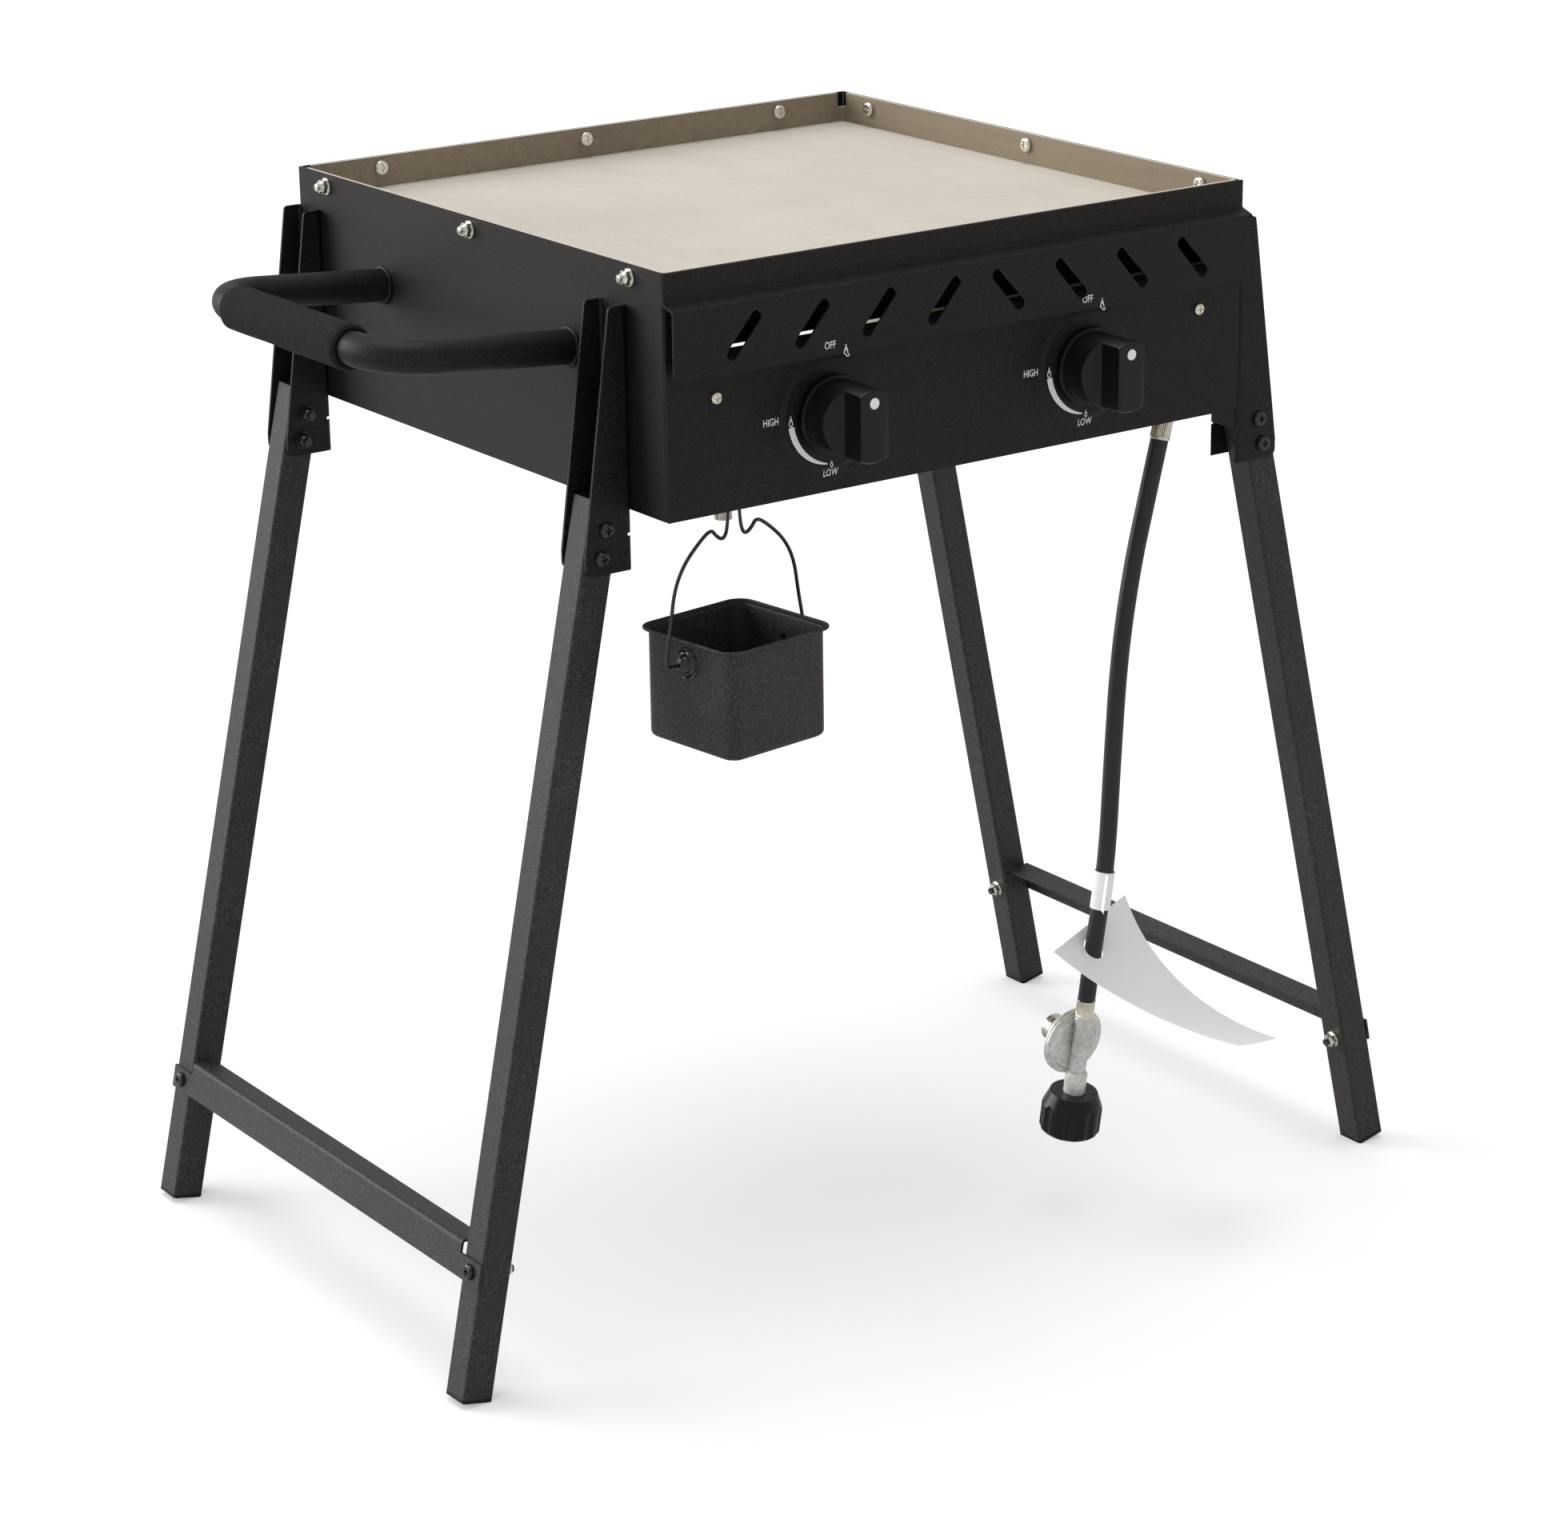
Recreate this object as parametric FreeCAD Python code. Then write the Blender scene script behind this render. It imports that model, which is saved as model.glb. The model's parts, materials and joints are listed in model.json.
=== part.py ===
import FreeCAD, Part
import math
import os

V = FreeCAD.Vector

# Griddle box: outer sizes, millimetres, floor at z = 0, middle of the box at x = y = 0
deck_height = 820.0
body_width = 520.0
body_depth = 500.0
body_height = 175.0
sheet = 1.5
bend_radius = 1.5
corner_flange = 15.0
rear_flange = 10.0

# Griddle tray that drops into the box
plate_thickness = 3.0
tray_wall = 2.5
rim_height = 24.0
tray_corner_radius = 4.0

# Slotted guard across the front, above the control panel
guard_end_gap = 1.0
guard_band_height = 21.0
guard_stand_off = 12.0
guard_step_height = 4.0
guard_height = 74.0
guard_corner_radius = 5.0
slot_count = 8
slot_pitch = 57.8
slot_length = 40.0
slot_width = 9.0
slot_lean = 49.0
slot_centre_drop = 48.5
vent_gap = 5.0
control_panel_drop = 60.0
panel_top_flange = 4.0
emboss_radius = 43.0
emboss_top_radius = 39.0
emboss_height = 1.2
panel_tab = 24.0
baffle_setback = 45.0
baffle_flange = 15.0
baffle_lap = 9.0

# Controls
knob_x = (-122.0, 110.0)
knob_rise = 57.0
knob_skirt_radius = 29.0
knob_skirt_thickness = 4.0
knob_body_radius = 26.7
knob_front_radius = 26.2
knob_length = 48.7
knob_grip_width = 24.0
knob_grip_length = 20.0
knob_floor_slope = 5.0
knob_edge_radius = 1.6
knob_foot_radius = 2.0
knob_push = 3.0
knob_panel_gap = 4.5
stem_radius = 3.0
stem_hole_radius = 7.0
stem_in_knob = 20.0
stem_clearance = 0.05
stem_flat = 1.8
stem_in_plug = 8.0
plug_port_radius = 1.2
plug_radius = 6.0
plug_length = 16.0
valve_radius = 11.0
valve_length = 30.0
valve_front_wall = 8.0
valve_flange = 3.0
valve_flange_end = 5.0
valve_screw_offset = 17.0
valve_neck_radius = 5.0
running_gap = 0.1
jet_radius = 4.0
jet_length = 14.0
jet_bore = 0.6
panel_screw_inset = 41.0
panel_screw_rise = 83.0

# Gas supply
manifold_radius = 8.0
manifold_wall = 1.5
manifold_rise = 28.0
manifold_setback = 20.0
manifold_end_length = 38.0
elbow_run = 14.5
collar_length = 12.0
collar_wall = 2.5
gas_rail_setback = 8.0
gas_rail_flange = 36.0
gas_rail_margin = 4.0
clamp_screw_offset = 16.5
clamp_width = 22.0
clamp_thickness = 2.0
clamp_offset = 36.0
elbow_radius = 10.0
gas_bore = 4.0

# Burners
burner_radius = 19.0
burner_wall = 1.0
burner_neck_radius = 11.0
burner_setback = 38.0
burner_neck_length = 60.0
burner_cone_length = 40.0
burner_rear_gap = 45.0
port_count = 18
port_pitch = 13.0
port_radius = 1.5
port_angle = 35.0
burner_rail_setback = 175.0
burner_rail_rear_gap = 100.0
burner_rail_flange = 20.0
burner_rail_drop = 22.0
burner_foot_width = 20.0
burner_foot_length = 16.0
burner_foot_drop = 3.0

# Grease outlet and bucket
spout_inset = 60.0
spout_setback = 21.0
spout_radius = 6.35
spout_bore = 5.0
spout_below_body = 11.0
hook_radius = 2.0
hook_rise = 5.0
hook_front_gap = 1.8
bail_setback = 8.0
bail_turn = 7.2
bail_wire = 1.0
bail_seat_gap = 0.15
bail_half_width = 65.5
bail_loop_half = 5.0
bail_shoulder = [(60.0, 40.0), (54.0, 61.0), (38.0, 80.0), (22.0, 91.5), (13.0, 83.5)]
bail_loop_rise = 91.0
bail_bends = [4.0, 25.0, 14.0, 16.0, 5.0, 4.0, 5.0, 3.4]
bucket_width = 93.0
bucket_height = 82.0
bucket_drop = 86.0
bucket_sheet = 0.8
bucket_corner = 10.0
bucket_floor_corner = 6.0
bucket_lip = 4.6
bucket_lip_height = 4.0
ear_drop = 18.0
ear_radius = 9.0
ear_neck_radius = 5.0
ear_thickness = 3.0
bail_end_inside = 3.0

# Leg sets: the left set stands back and the right set forward by the same offset
leg_width = 25.4
leg_wall = 1.5
leg_corner = 2.5
leg_splay = 12.23
leg_flare = 1.0
leg_above_pivot = 20.0
set_offset = 46.0
pivot_out = 22.0
pivot_drop = 11.0
lock_distance = 20.5
foot_cap_thickness = 3.0
foot_trim = 0.6
foot_plug_length = 14.0
foot_plug_gap = 0.2

# Leg brackets
bracket_sheet = 2.0
bracket_side_gap = 1.2
bracket_top_drop = 29.0
bracket_below_pivot = 32.0
bracket_web_below_pivot = 5.0
bracket_top_reach = 15.0
bracket_bottom_reach = 39.5
bracket_straight = 14.0
bracket_corner = 6.0
relief_radius = 2.5
rivet_drops = (16.0, 119.0)

# Braces
brace_rise = 94.45
brace_sheet = 2.0
brace_flange = 20.0
brace_flange_gap = 3.0
brace_tab = 18.0
brace_shoulder = 10.0

# Fasteners
m6_radius = 3.0
m6_hole = 3.4
pan_head_radius = 5.8
pan_head_height = 3.6
cross_width = 1.4
cross_length = 6.0
cross_depth = 1.8
nut_flats = 10.0
nut_height = 5.0
nut_crown_height = 1.8
washer_radius = 6.5
washer_height = 1.0
bolt_end = 4.0
m5_radius = 2.5
m5_hole = 2.55
m5_head_radius = 4.5
m5_head_height = 2.8
short_screw_length = 8.0
m4_radius = 2.0
m4_head_radius = 3.8
m4_head_height = 2.4
rim_bolt_drop = 9.0
rim_bolt_side_inset = 42.0
rim_bolt_rear_inset = 70.0
rivet_radius = 2.4
rivet_hole = 2.5
rivet_head_radius = 4.0
rivet_head_height = 1.4

# Carrying handle on the left side
handle_radius = 12.5
handle_wall = 1.5
handle_spacing = 258.0
handle_reach = 148.0
handle_bend = 45.0
handle_drop = 72.0
handle_rise = 12.0
grip_radius = 17.0
grip_length = 164.0
grip_gap = 0.05
grip_edge = 2.0
handle_plug_length = 16.0
m8_radius = 4.0
m8_hole = 4.4
m8_head_radius = 7.0
m8_head_height = 4.5

# Hose, regulator and coupling: the hose hangs by a route chosen by hand, from where it leaves its top ferrule
hose_inset = 59.5
hose_drop = 18.0
hose_route = [V(0, 0, 0), V(-11.3, 0, -42.7), V(-25.5, 0, -97.0), V(-36.9, 0, -165.0), V(-42.7, -0.5, -245.0)]
hose_route += [V(-48.0, -1.5, -330.0), V(-59.2, -1.0, -393.1), V(-60.6, 6.0, -443.0)]
hose_radius = 7.0
ferrule_radius = 7.75
ferrule_length = 25.0
end_ferrule_length = 15.5
regulator_radius = 27.5
regulator_rim = 4.0
regulator_face_radius = 22.5
regulator_face_depth = 3.0
regulator_back_depth = 14.0
regulator_back_radius = 15.0
regulator_pipe_radius = 6.5
regulator_pipe_y = -9.5
regulator_inlet_z = 25.5
regulator_cap_radius = 11.0
regulator_cap_length = 13.0
regulator_neck_radius = 8.8
regulator_neck_top = -22.0
regulator_neck_end = -47.0
nut_radius = 24.0
nut_length = 34.0
nut_shoulder = 19.0
nut_shoulder_height = 12.0
nut_bore = 18.5
nut_flutes = 12
nut_flute_radius = 9.0
nut_flute_depth = 1.4
nut_top_wall = 6.0
nipple_flange_radius = 14.0
nipple_flange = 3.0
nipple_radius = 7.0
nipple_gap = 0.1
band_drop = 351.0
band_length = 28.0
band_thickness = 0.4
band_gap = 0.5
tag_drop = 401.0
tag_length = 164.0
tag_width = 84.4
tag_hole_side = 55.3
tag_hole_end = 17.4
tag_thickness = 0.4
tag_droop = 21.0
tag_roll = -3.0
tag_turn = -68.2

# Worked-out levels and planes
body_bottom = deck_height - body_height
side_x = body_width / 2.0
front_y = -body_depth / 2.0
rear_y = body_depth / 2.0
plate_top = deck_height - rim_height
plate_bottom = plate_top - plate_thickness
tray_side = side_x - sheet
tray_front = front_y + 2.0 * sheet
tray_rear = rear_y - sheet
rim_bolt_z = deck_height - rim_bolt_drop
guard_bottom = deck_height - guard_height
slot_centre_height = deck_height - slot_centre_drop
control_panel_top = deck_height - control_panel_drop
baffle_bottom = control_panel_top - baffle_lap
baffle_y = front_y + baffle_setback
knob_height = body_bottom + knob_rise
panel_screw_x = side_x - panel_screw_inset
panel_screw_height = body_bottom + panel_screw_rise
handle_height = deck_height - handle_drop
manifold_height = body_bottom + manifold_rise
manifold_y = front_y + manifold_setback
gas_rail_front = front_y + gas_rail_setback
clamp_screw_y = manifold_y + clamp_screw_offset
clamp_x = [x + clamp_offset for x in knob_x]
burner_front = front_y + burner_setback
burner_end = rear_y - burner_rear_gap
burner_rail_y = (front_y + burner_rail_setback, rear_y - burner_rail_rear_gap)
spout_x = -side_x + spout_inset
spout_y = front_y + spout_setback
hook_height = body_bottom + hook_rise
bail_y = front_y + bail_setback
bucket_top = body_bottom - bucket_drop
ear_height = bucket_top - ear_drop
pivot_height = body_bottom - pivot_drop
bracket_top = deck_height - bracket_top_drop
bracket_bottom = pivot_height - bracket_below_pivot
bracket_web_end = pivot_height - bracket_web_below_pivot
bracket_taper_end = bracket_bottom + bracket_straight
rivet_heights = [bracket_top - drop for drop in rivet_drops]
channel_width = leg_width + 2.0 * bracket_side_gap
bracket_width = channel_width + 2.0 * bracket_sheet
lock_dx = lock_distance * math.sin(math.radians(leg_splay))
lock_dz = lock_distance * math.cos(math.radians(leg_splay))
leg_upright = math.cos(math.radians(leg_splay)) * math.cos(math.radians(leg_flare))
leg_corner_drop = leg_width / 2.0 * (math.sin(math.radians(leg_splay)) + math.sin(math.radians(leg_flare)))
leg_length = (pivot_height - leg_corner_drop + foot_trim) / leg_upright - foot_cap_thickness
brace_distance = leg_length - brace_rise
valve_front = front_y + sheet - emboss_height
plug_front = valve_front + valve_front_wall
hose_exit = V(side_x - hose_inset, manifold_y, body_bottom - hose_drop)
hose_points = [hose_exit + point for point in hose_route]
hose_up = (hose_points[0] - hose_points[1]).normalize()
hose_end_up = (hose_points[-2] - hose_points[-1]).normalize()
manifold_left_end = knob_x[0] - manifold_end_length
manifold_right_end = hose_exit.x - elbow_run
band_height = hose_exit.z - band_drop
tag_height = hose_exit.z - tag_drop
hose_top = hose_points[0] + hose_up * ferrule_length

os.makedirs("parts", exist_ok=True)


def save(name, shapes):
    """Write one node: a single solid, or a group of separate solids."""
    if not isinstance(shapes, (list, tuple)):
        shapes = [shapes]
    solids = []
    for shape in shapes:
        solids.extend(shape.Solids)
    node = solids[0] if len(solids) == 1 else Part.makeCompound(solids)
    node.exportStep("parts/" + name + ".step")
    return node


def box(x0, x1, y0, y1, z0, z1):
    """Box between two corners."""
    return Part.makeBox(x1 - x0, y1 - y0, z1 - z0, V(x0, y0, z0))


def rod(radius, start, end):
    """Round bar between two points."""
    axis = end - start
    return Part.makeCylinder(radius, axis.Length, start, axis)


def tube(radius, bore, start, end):
    """Round tube between two points."""
    return rod(radius, start, end).cut(rod(bore, start, end))


def join(shapes):
    """Fuse shapes into one solid without left-over seams."""
    whole = shapes[0]
    for shape in shapes[1:]:
        whole = whole.fuse(shape)
    return whole.removeSplitter()


def corner_points(before, point, after, radius):
    """Start, middle and end of the arc that rounds one corner."""
    to_before = (before - point).normalize()
    to_after = (after - point).normalize()
    half = to_before.getAngle(to_after) / 2.0
    along = radius / math.tan(half)
    inward = (to_before + to_after).normalize()
    middle = point + inward * (radius / math.sin(half) - radius)
    return point + to_before * along, middle, point + to_after * along


def outline(points, radii):
    """Closed wire with each corner rounded by its own radius."""
    count = len(points)
    corners = []
    for i in range(count):
        if radii[i] > 0:
            corners.append(corner_points(points[i - 1], points[i], points[(i + 1) % count], radii[i]))
        else:
            corners.append((points[i], None, points[i]))
    edges = []
    for i in range(count):
        start, middle, end = corners[i]
        if middle is not None:
            edges.append(Part.Arc(start, middle, end).toShape())
        following = corners[(i + 1) % count][0]
        if end.distanceToPoint(following) > 1e-6:
            edges.append(Part.LineSegment(end, following).toShape())
    return Part.Wire(Part.__sortEdges__(edges))


def plate(points, radii, depth):
    """Flat piece with a rounded outline, given depth as a vector."""
    return Part.Face(outline(points, radii)).extrude(depth)


def bent_sheet(line, thickness, inner_radius, run):
    """Sheet whose middle line is bent at each inner point, drawn along run."""
    along = V(run).normalize()
    last = len(line) - 1
    bends = inner_radius if isinstance(inner_radius, tuple) else (inner_radius,) * (last - 1)
    near = []
    far = []
    near_radii = []
    far_radii = []
    for i in range(last + 1):
        first = (line[max(i, 1)] - line[max(i, 1) - 1]).normalize().cross(along)
        second = (line[min(i, last - 1) + 1] - line[min(i, last - 1)]).normalize().cross(along)
        mitre = (first + second) * (thickness / 2.0 / (1.0 + first.dot(second)))
        near.append(line[i] + mitre)
        far.append(line[i] - mitre)
        if i in (0, last):
            near_radii.append(0)
            far_radii.append(0)
            continue
        near_inside = first.dot(line[i + 1] - line[i]) > 0
        bend = bends[i - 1]
        near_radii.append(bend if near_inside else bend + thickness)
        far_radii.append(bend + thickness if near_inside else bend)
    return plate(near + far[::-1], near_radii + far_radii[::-1], run)


def rounded_path(points, radii):
    """Open wire of straight runs joined by tangent arcs."""
    edges = []
    last = points[0]
    for i in range(1, len(points) - 1):
        start, middle, end = corner_points(points[i - 1], points[i], points[i + 1], radii[i - 1])
        if start.distanceToPoint(last) > 1e-6:
            edges.append(Part.LineSegment(last, start).toShape())
        edges.append(Part.Arc(start, middle, end).toShape())
        last = end
    edges.append(Part.LineSegment(last, points[-1]).toShape())
    return Part.Wire(edges)


def swept(path, radius, start, direction):
    """Round section drawn along a path."""
    section = Part.Wire(Part.makeCircle(radius, start, direction))
    return path.makePipeShell([section], True, False)


def cross_recess(centre, outward, depth):
    """Cross-shaped tool for a screw head's drive."""
    arms = []
    for turn in (0.0, 90.0):
        arm = box(-cross_length / 2.0, cross_length / 2.0, -cross_width / 2.0, cross_width / 2.0, -depth, depth)
        arm.rotate(V(0, 0, 0), V(0, 0, 1), turn)
        arms.append(arm)
    tool = arms[0].fuse(arms[1])
    tool.Placement = FreeCAD.Placement(centre, FreeCAD.Rotation(V(0, 0, 1), outward)).multiply(tool.Placement)
    return tool


def pan_screw(seat, outward, shank_radius, shank_length, head_radius, head_height):
    """Pan-head screw: head on the seat, shank going the other way."""
    head = rod(head_radius, seat, seat + outward * head_height)
    top = [edge for edge in head.Edges if abs((edge.CenterOfMass - seat).dot(outward) - head_height) < 1e-6]
    head = head.makeFillet(head_height * 0.55, top[:1])
    head = head.cut(cross_recess(seat + outward * head_height, outward, cross_depth))
    return head.fuse(rod(shank_radius, seat, seat - outward * shank_length)).removeSplitter()


def hex_nut(seat, outward, bore, flats, height, flange_radius, flange_height):
    """Flange nut seated on a face, its bore clear of the thread."""
    radius = flats / math.sqrt(3.0)
    side = outward.cross(V(0, 0, 1))
    if side.Length < 0.1:
        side = V(1, 0, 0)
    side = side.normalize()
    up = outward.cross(side)
    points = []
    for i in range(7):
        turn = math.radians(60.0 * i)
        points.append(seat + side * (radius * math.cos(turn)) + up * (radius * math.sin(turn)))
    body = Part.Face(Part.makePolygon(points)).extrude(outward * height)
    body = body.fuse(rod(flange_radius, seat, seat + outward * flange_height))
    crown = seat + outward * height
    body = body.fuse(Part.makeCone(flats / 2.0, flats / 2.0 - nut_crown_height / 2.0, nut_crown_height, crown, outward))
    return body.cut(rod(bore, seat - outward, crown + outward * (nut_crown_height + 1.0))).removeSplitter()


def on_side(shape, side):
    """Right-hand shape as it is, or mirrored to the left side."""
    return shape if side > 0 else shape.mirror(V(0, 0, 0), V(1, 0, 0))


def leg_row(side, end):
    """Middle of a leg bracket from front to back: each set stands off the other by set_offset."""
    row = end * (body_depth / 2.0 - bracket_width / 2.0)
    if side < 0 and end < 0:
        row += set_offset
    if side > 0 and end > 0:
        row -= set_offset
    return row


def side_frame(row):
    """Leg pivot of the right side, turned by the splay: local x is outward, local z up along the leg."""
    return FreeCAD.Placement(V(side_x + pivot_out, row, pivot_height), FreeCAD.Rotation(V(0, 1, 0), -leg_splay))


def leg_tools(row):
    """Pivot, lock and brace bolt holes of one right-hand leg."""
    pivot = V(side_x + pivot_out, row, pivot_height)
    lock = pivot + V(lock_dx, 0, -lock_dz)
    reach = V(0, bracket_width, 0)
    return [rod(m6_hole, pivot - reach, pivot + reach), rod(m6_hole, lock - reach, lock + reach)]


def brace_row(side, end):
    """Middle of a leg at the brace, moved outward by the flare."""
    return leg_row(side, end) + end * brace_distance * math.tan(math.radians(leg_flare))


def tray_corners(inset, height):
    """Corners of the tray's plan, drawn in by an inset, at a height."""
    x = tray_side - inset
    front = tray_front + inset
    rear = tray_rear - inset
    return [V(-x, front, height), V(x, front, height), V(x, rear, height), V(-x, rear, height)]


def make_tray():
    """Flat bottom with four rim walls welded round its edge, mitred at the corners."""
    radii = [tray_corner_radius] * 4
    bottom = plate(tray_corners(tray_wall, plate_bottom), radii, V(0, 0, plate_thickness))
    bottom = bottom.cut(rod(spout_bore, V(spout_x, spout_y, plate_bottom - 1), V(spout_x, spout_y, plate_top + 1)))
    rise = V(0, 0, deck_height - plate_bottom)
    inside = plate(tray_corners(tray_wall, plate_bottom), radii, rise)
    rim = plate(tray_corners(0.0, plate_bottom), radii, rise).cut(inside)
    notch = 3.0 * tray_wall
    for side in (-1, 1):
        x = side * tray_side
        rim = rim.cut(box(min(x, x - side * notch), max(x, x - side * notch), tray_rear - notch, tray_rear,
                          deck_height - rim_height / 2.0, deck_height + 1.0))
    for start, outward in rim_bolt_places():
        rim = rim.cut(rod(m6_hole, start - outward * 8.0, start + outward * 8.0))
    outer = tray_corners(0.0, plate_bottom)
    inner = tray_corners(tray_wall + tray_corner_radius, plate_bottom)
    walls = []
    for i in range(4):
        following = (i + 1) % 4
        reach = plate([outer[i], outer[following], inner[following], inner[i]], [0] * 4, rise)
        walls.append(rim.common(reach))
    return [bottom] + walls


def rim_bolt_places():
    """Seat of each rim bolt head on the inside of the tray wall, and the way out."""
    places = []
    for y in (front_y + rim_bolt_side_inset, 0.0, rear_y - rim_bolt_side_inset):
        for side in (-1, 1):
            places.append((V(side * (tray_side - tray_wall), y, rim_bolt_z), V(side, 0, 0)))
    for x in (rim_bolt_rear_inset - side_x, 0.0, side_x - rim_bolt_rear_inset):
        places.append((V(x, tray_rear - tray_wall, rim_bolt_z), V(0, 1, 0)))
    return places


def make_side_panel(side):
    """Side of the box, its front edge turned in behind the control panel, with a tab for its screw."""
    y0 = front_y + sheet
    middle = sheet / 2.0
    line = [V(side_x - sheet - corner_flange, y0 + middle, body_bottom), V(side_x - middle, y0 + middle, body_bottom)]
    line.append(V(side_x - middle, rear_y, body_bottom))
    panel = bent_sheet(line, sheet, bend_radius, V(0, 0, body_height))
    tab_end = panel_screw_x - panel_tab / 2.0
    tab = box(tab_end, side_x - sheet - corner_flange + 1.0, y0, y0 + sheet, panel_screw_height - panel_tab / 2.0,
              panel_screw_height + panel_tab / 2.0)
    panel = panel.fuse(tab).removeSplitter()
    screw = V(panel_screw_x, y0, panel_screw_height)
    panel = panel.cut(rod(m5_hole, screw - V(0, 3, 0), screw + V(0, 3, 0)))
    for start, outward in rim_bolt_places():
        if outward.x > 0:
            panel = panel.cut(rod(m6_hole, start, start + outward * 8.0))
    for end in (-1, 1):
        for height in rivet_heights:
            centre = V(side_x, leg_row(side, end), height)
            panel = panel.cut(rod(rivet_hole, centre - V(5, 0, 0), centre + V(5, 0, 0)))
    if side < 0:
        for y in (-handle_spacing / 2.0, handle_spacing / 2.0):
            root = V(side_x, y, handle_height)
            panel = panel.cut(rod(m8_hole, root - V(5, 0, 0), root + V(5, 0, 0)))
    return on_side(panel, side)


def make_rear_panel():
    """Back of the box, turned forward along both side panels below the tray."""
    inside = side_x - sheet
    middle = rear_y - sheet / 2.0
    reach = rear_y - sheet - rear_flange
    line = [V(-inside + sheet / 2.0, reach, body_bottom), V(-inside + sheet / 2.0, middle, body_bottom)]
    line += [V(inside - sheet / 2.0, middle, body_bottom), V(inside - sheet / 2.0, reach, body_bottom)]
    panel = bent_sheet(line, sheet, bend_radius, V(0, 0, body_height))
    clear = box(-inside - 1, inside + 1, reach - 1, rear_y - sheet, plate_bottom - corner_flange, deck_height + 1)
    panel = panel.cut(clear)
    for start, outward in rim_bolt_places():
        if outward.y > 0:
            panel = panel.cut(rod(m6_hole, start, start + outward * 8.0))
    return panel


def slot_tool(x, lean):
    """Leaning round-ended slot through the guard strip."""
    half = (slot_length - slot_width) / 2.0
    radius = slot_width / 2.0
    y = front_y - guard_stand_off - sheet
    tool = box(-half, half, 0, 3.0 * sheet, -radius, radius)
    for end in (-half, half):
        tool = tool.fuse(rod(radius, V(end, 0, 0), V(end, 3.0 * sheet, 0)))
    tool = tool.removeSplitter()
    tool.rotate(V(0, 0, 0), V(0, 1, 0), lean)
    tool.translate(V(x, y, slot_centre_height))
    return tool


def make_front_guard():
    width = 2.0 * (side_x + guard_end_gap)
    x = -side_x - guard_end_gap
    middle = front_y + sheet / 2.0
    band_bottom = deck_height - guard_band_height
    line = [V(x, middle, deck_height), V(x, middle, band_bottom)]
    line += [V(x, middle - guard_stand_off, band_bottom - guard_step_height), V(x, middle - guard_stand_off, guard_bottom)]
    guard = bent_sheet(line, sheet, bend_radius, V(width, 0, 0))
    y0 = front_y - guard_stand_off - sheet
    corners = [V(x, y0, guard_bottom), V(x + width, y0, guard_bottom)]
    corners += [V(x + width, y0, deck_height), V(x, y0, deck_height)]
    rounding = [guard_corner_radius, guard_corner_radius, 0, 0]
    guard = guard.common(plate(corners, rounding, V(0, guard_stand_off + 4.0 * sheet, 0)))
    for i in range(slot_count):
        place = (i - (slot_count - 1) / 2.0) * slot_pitch
        lean = -slot_lean if place < 0 else slot_lean
        guard = guard.cut(slot_tool(place, lean))
    return guard


def make_control_panel():
    """Front sheet with a raised ring round each knob and its top edge turned in."""
    middle = front_y + sheet / 2.0
    line = [V(-side_x, middle, body_bottom), V(-side_x, middle, control_panel_top - sheet / 2.0)]
    line.append(V(-side_x, front_y + sheet + panel_top_flange, control_panel_top - sheet / 2.0))
    panel = bent_sheet(line, sheet, bend_radius, V(body_width, 0, 0))
    inside = side_x - sheet - corner_flange - vent_gap
    for side in (-1, 1):
        x = side * inside
        panel = panel.cut(box(min(x, side * side_x * 2.0), max(x, side * side_x * 2.0), front_y + sheet,
                              front_y + sheet + panel_top_flange + 1.0, body_bottom, deck_height))
    for x in knob_x:
        face = V(x, front_y, knob_height)
        back = face + V(0, sheet, 0)
        panel = panel.fuse(Part.makeCone(emboss_radius, emboss_top_radius, emboss_height, face, V(0, -1, 0)))
        panel = panel.cut(Part.makeCone(emboss_radius - sheet, emboss_top_radius - sheet, emboss_height, back, V(0, -1, 0)))
        panel = panel.cut(rod(stem_hole_radius, face - V(0, 5, 0), face + V(0, 5, 0)))
        for side in (-1, 1):
            hole = face + V(side * valve_screw_offset, 0, 0)
            panel = panel.cut(rod(m4_radius + stem_clearance, hole - V(0, 5, 0), hole + V(0, 5, 0)))
    for side in (-1, 1):
        hole = V(side * panel_screw_x, front_y, panel_screw_height)
        panel = panel.cut(rod(m5_hole, hole - V(0, 5, 0), hole + V(0, 5, 0)))
    return panel.removeSplitter()


def make_baffle():
    """Angle under the front of the tray that keeps burner heat off the controls."""
    x = -side_x + sheet
    top = plate_bottom - sheet / 2.0
    line = [V(x, baffle_y + baffle_flange, top), V(x, baffle_y, top), V(x, baffle_y, baffle_bottom)]
    return bent_sheet(line, sheet, bend_radius, V(body_width - 2.0 * sheet, 0, 0))


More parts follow.
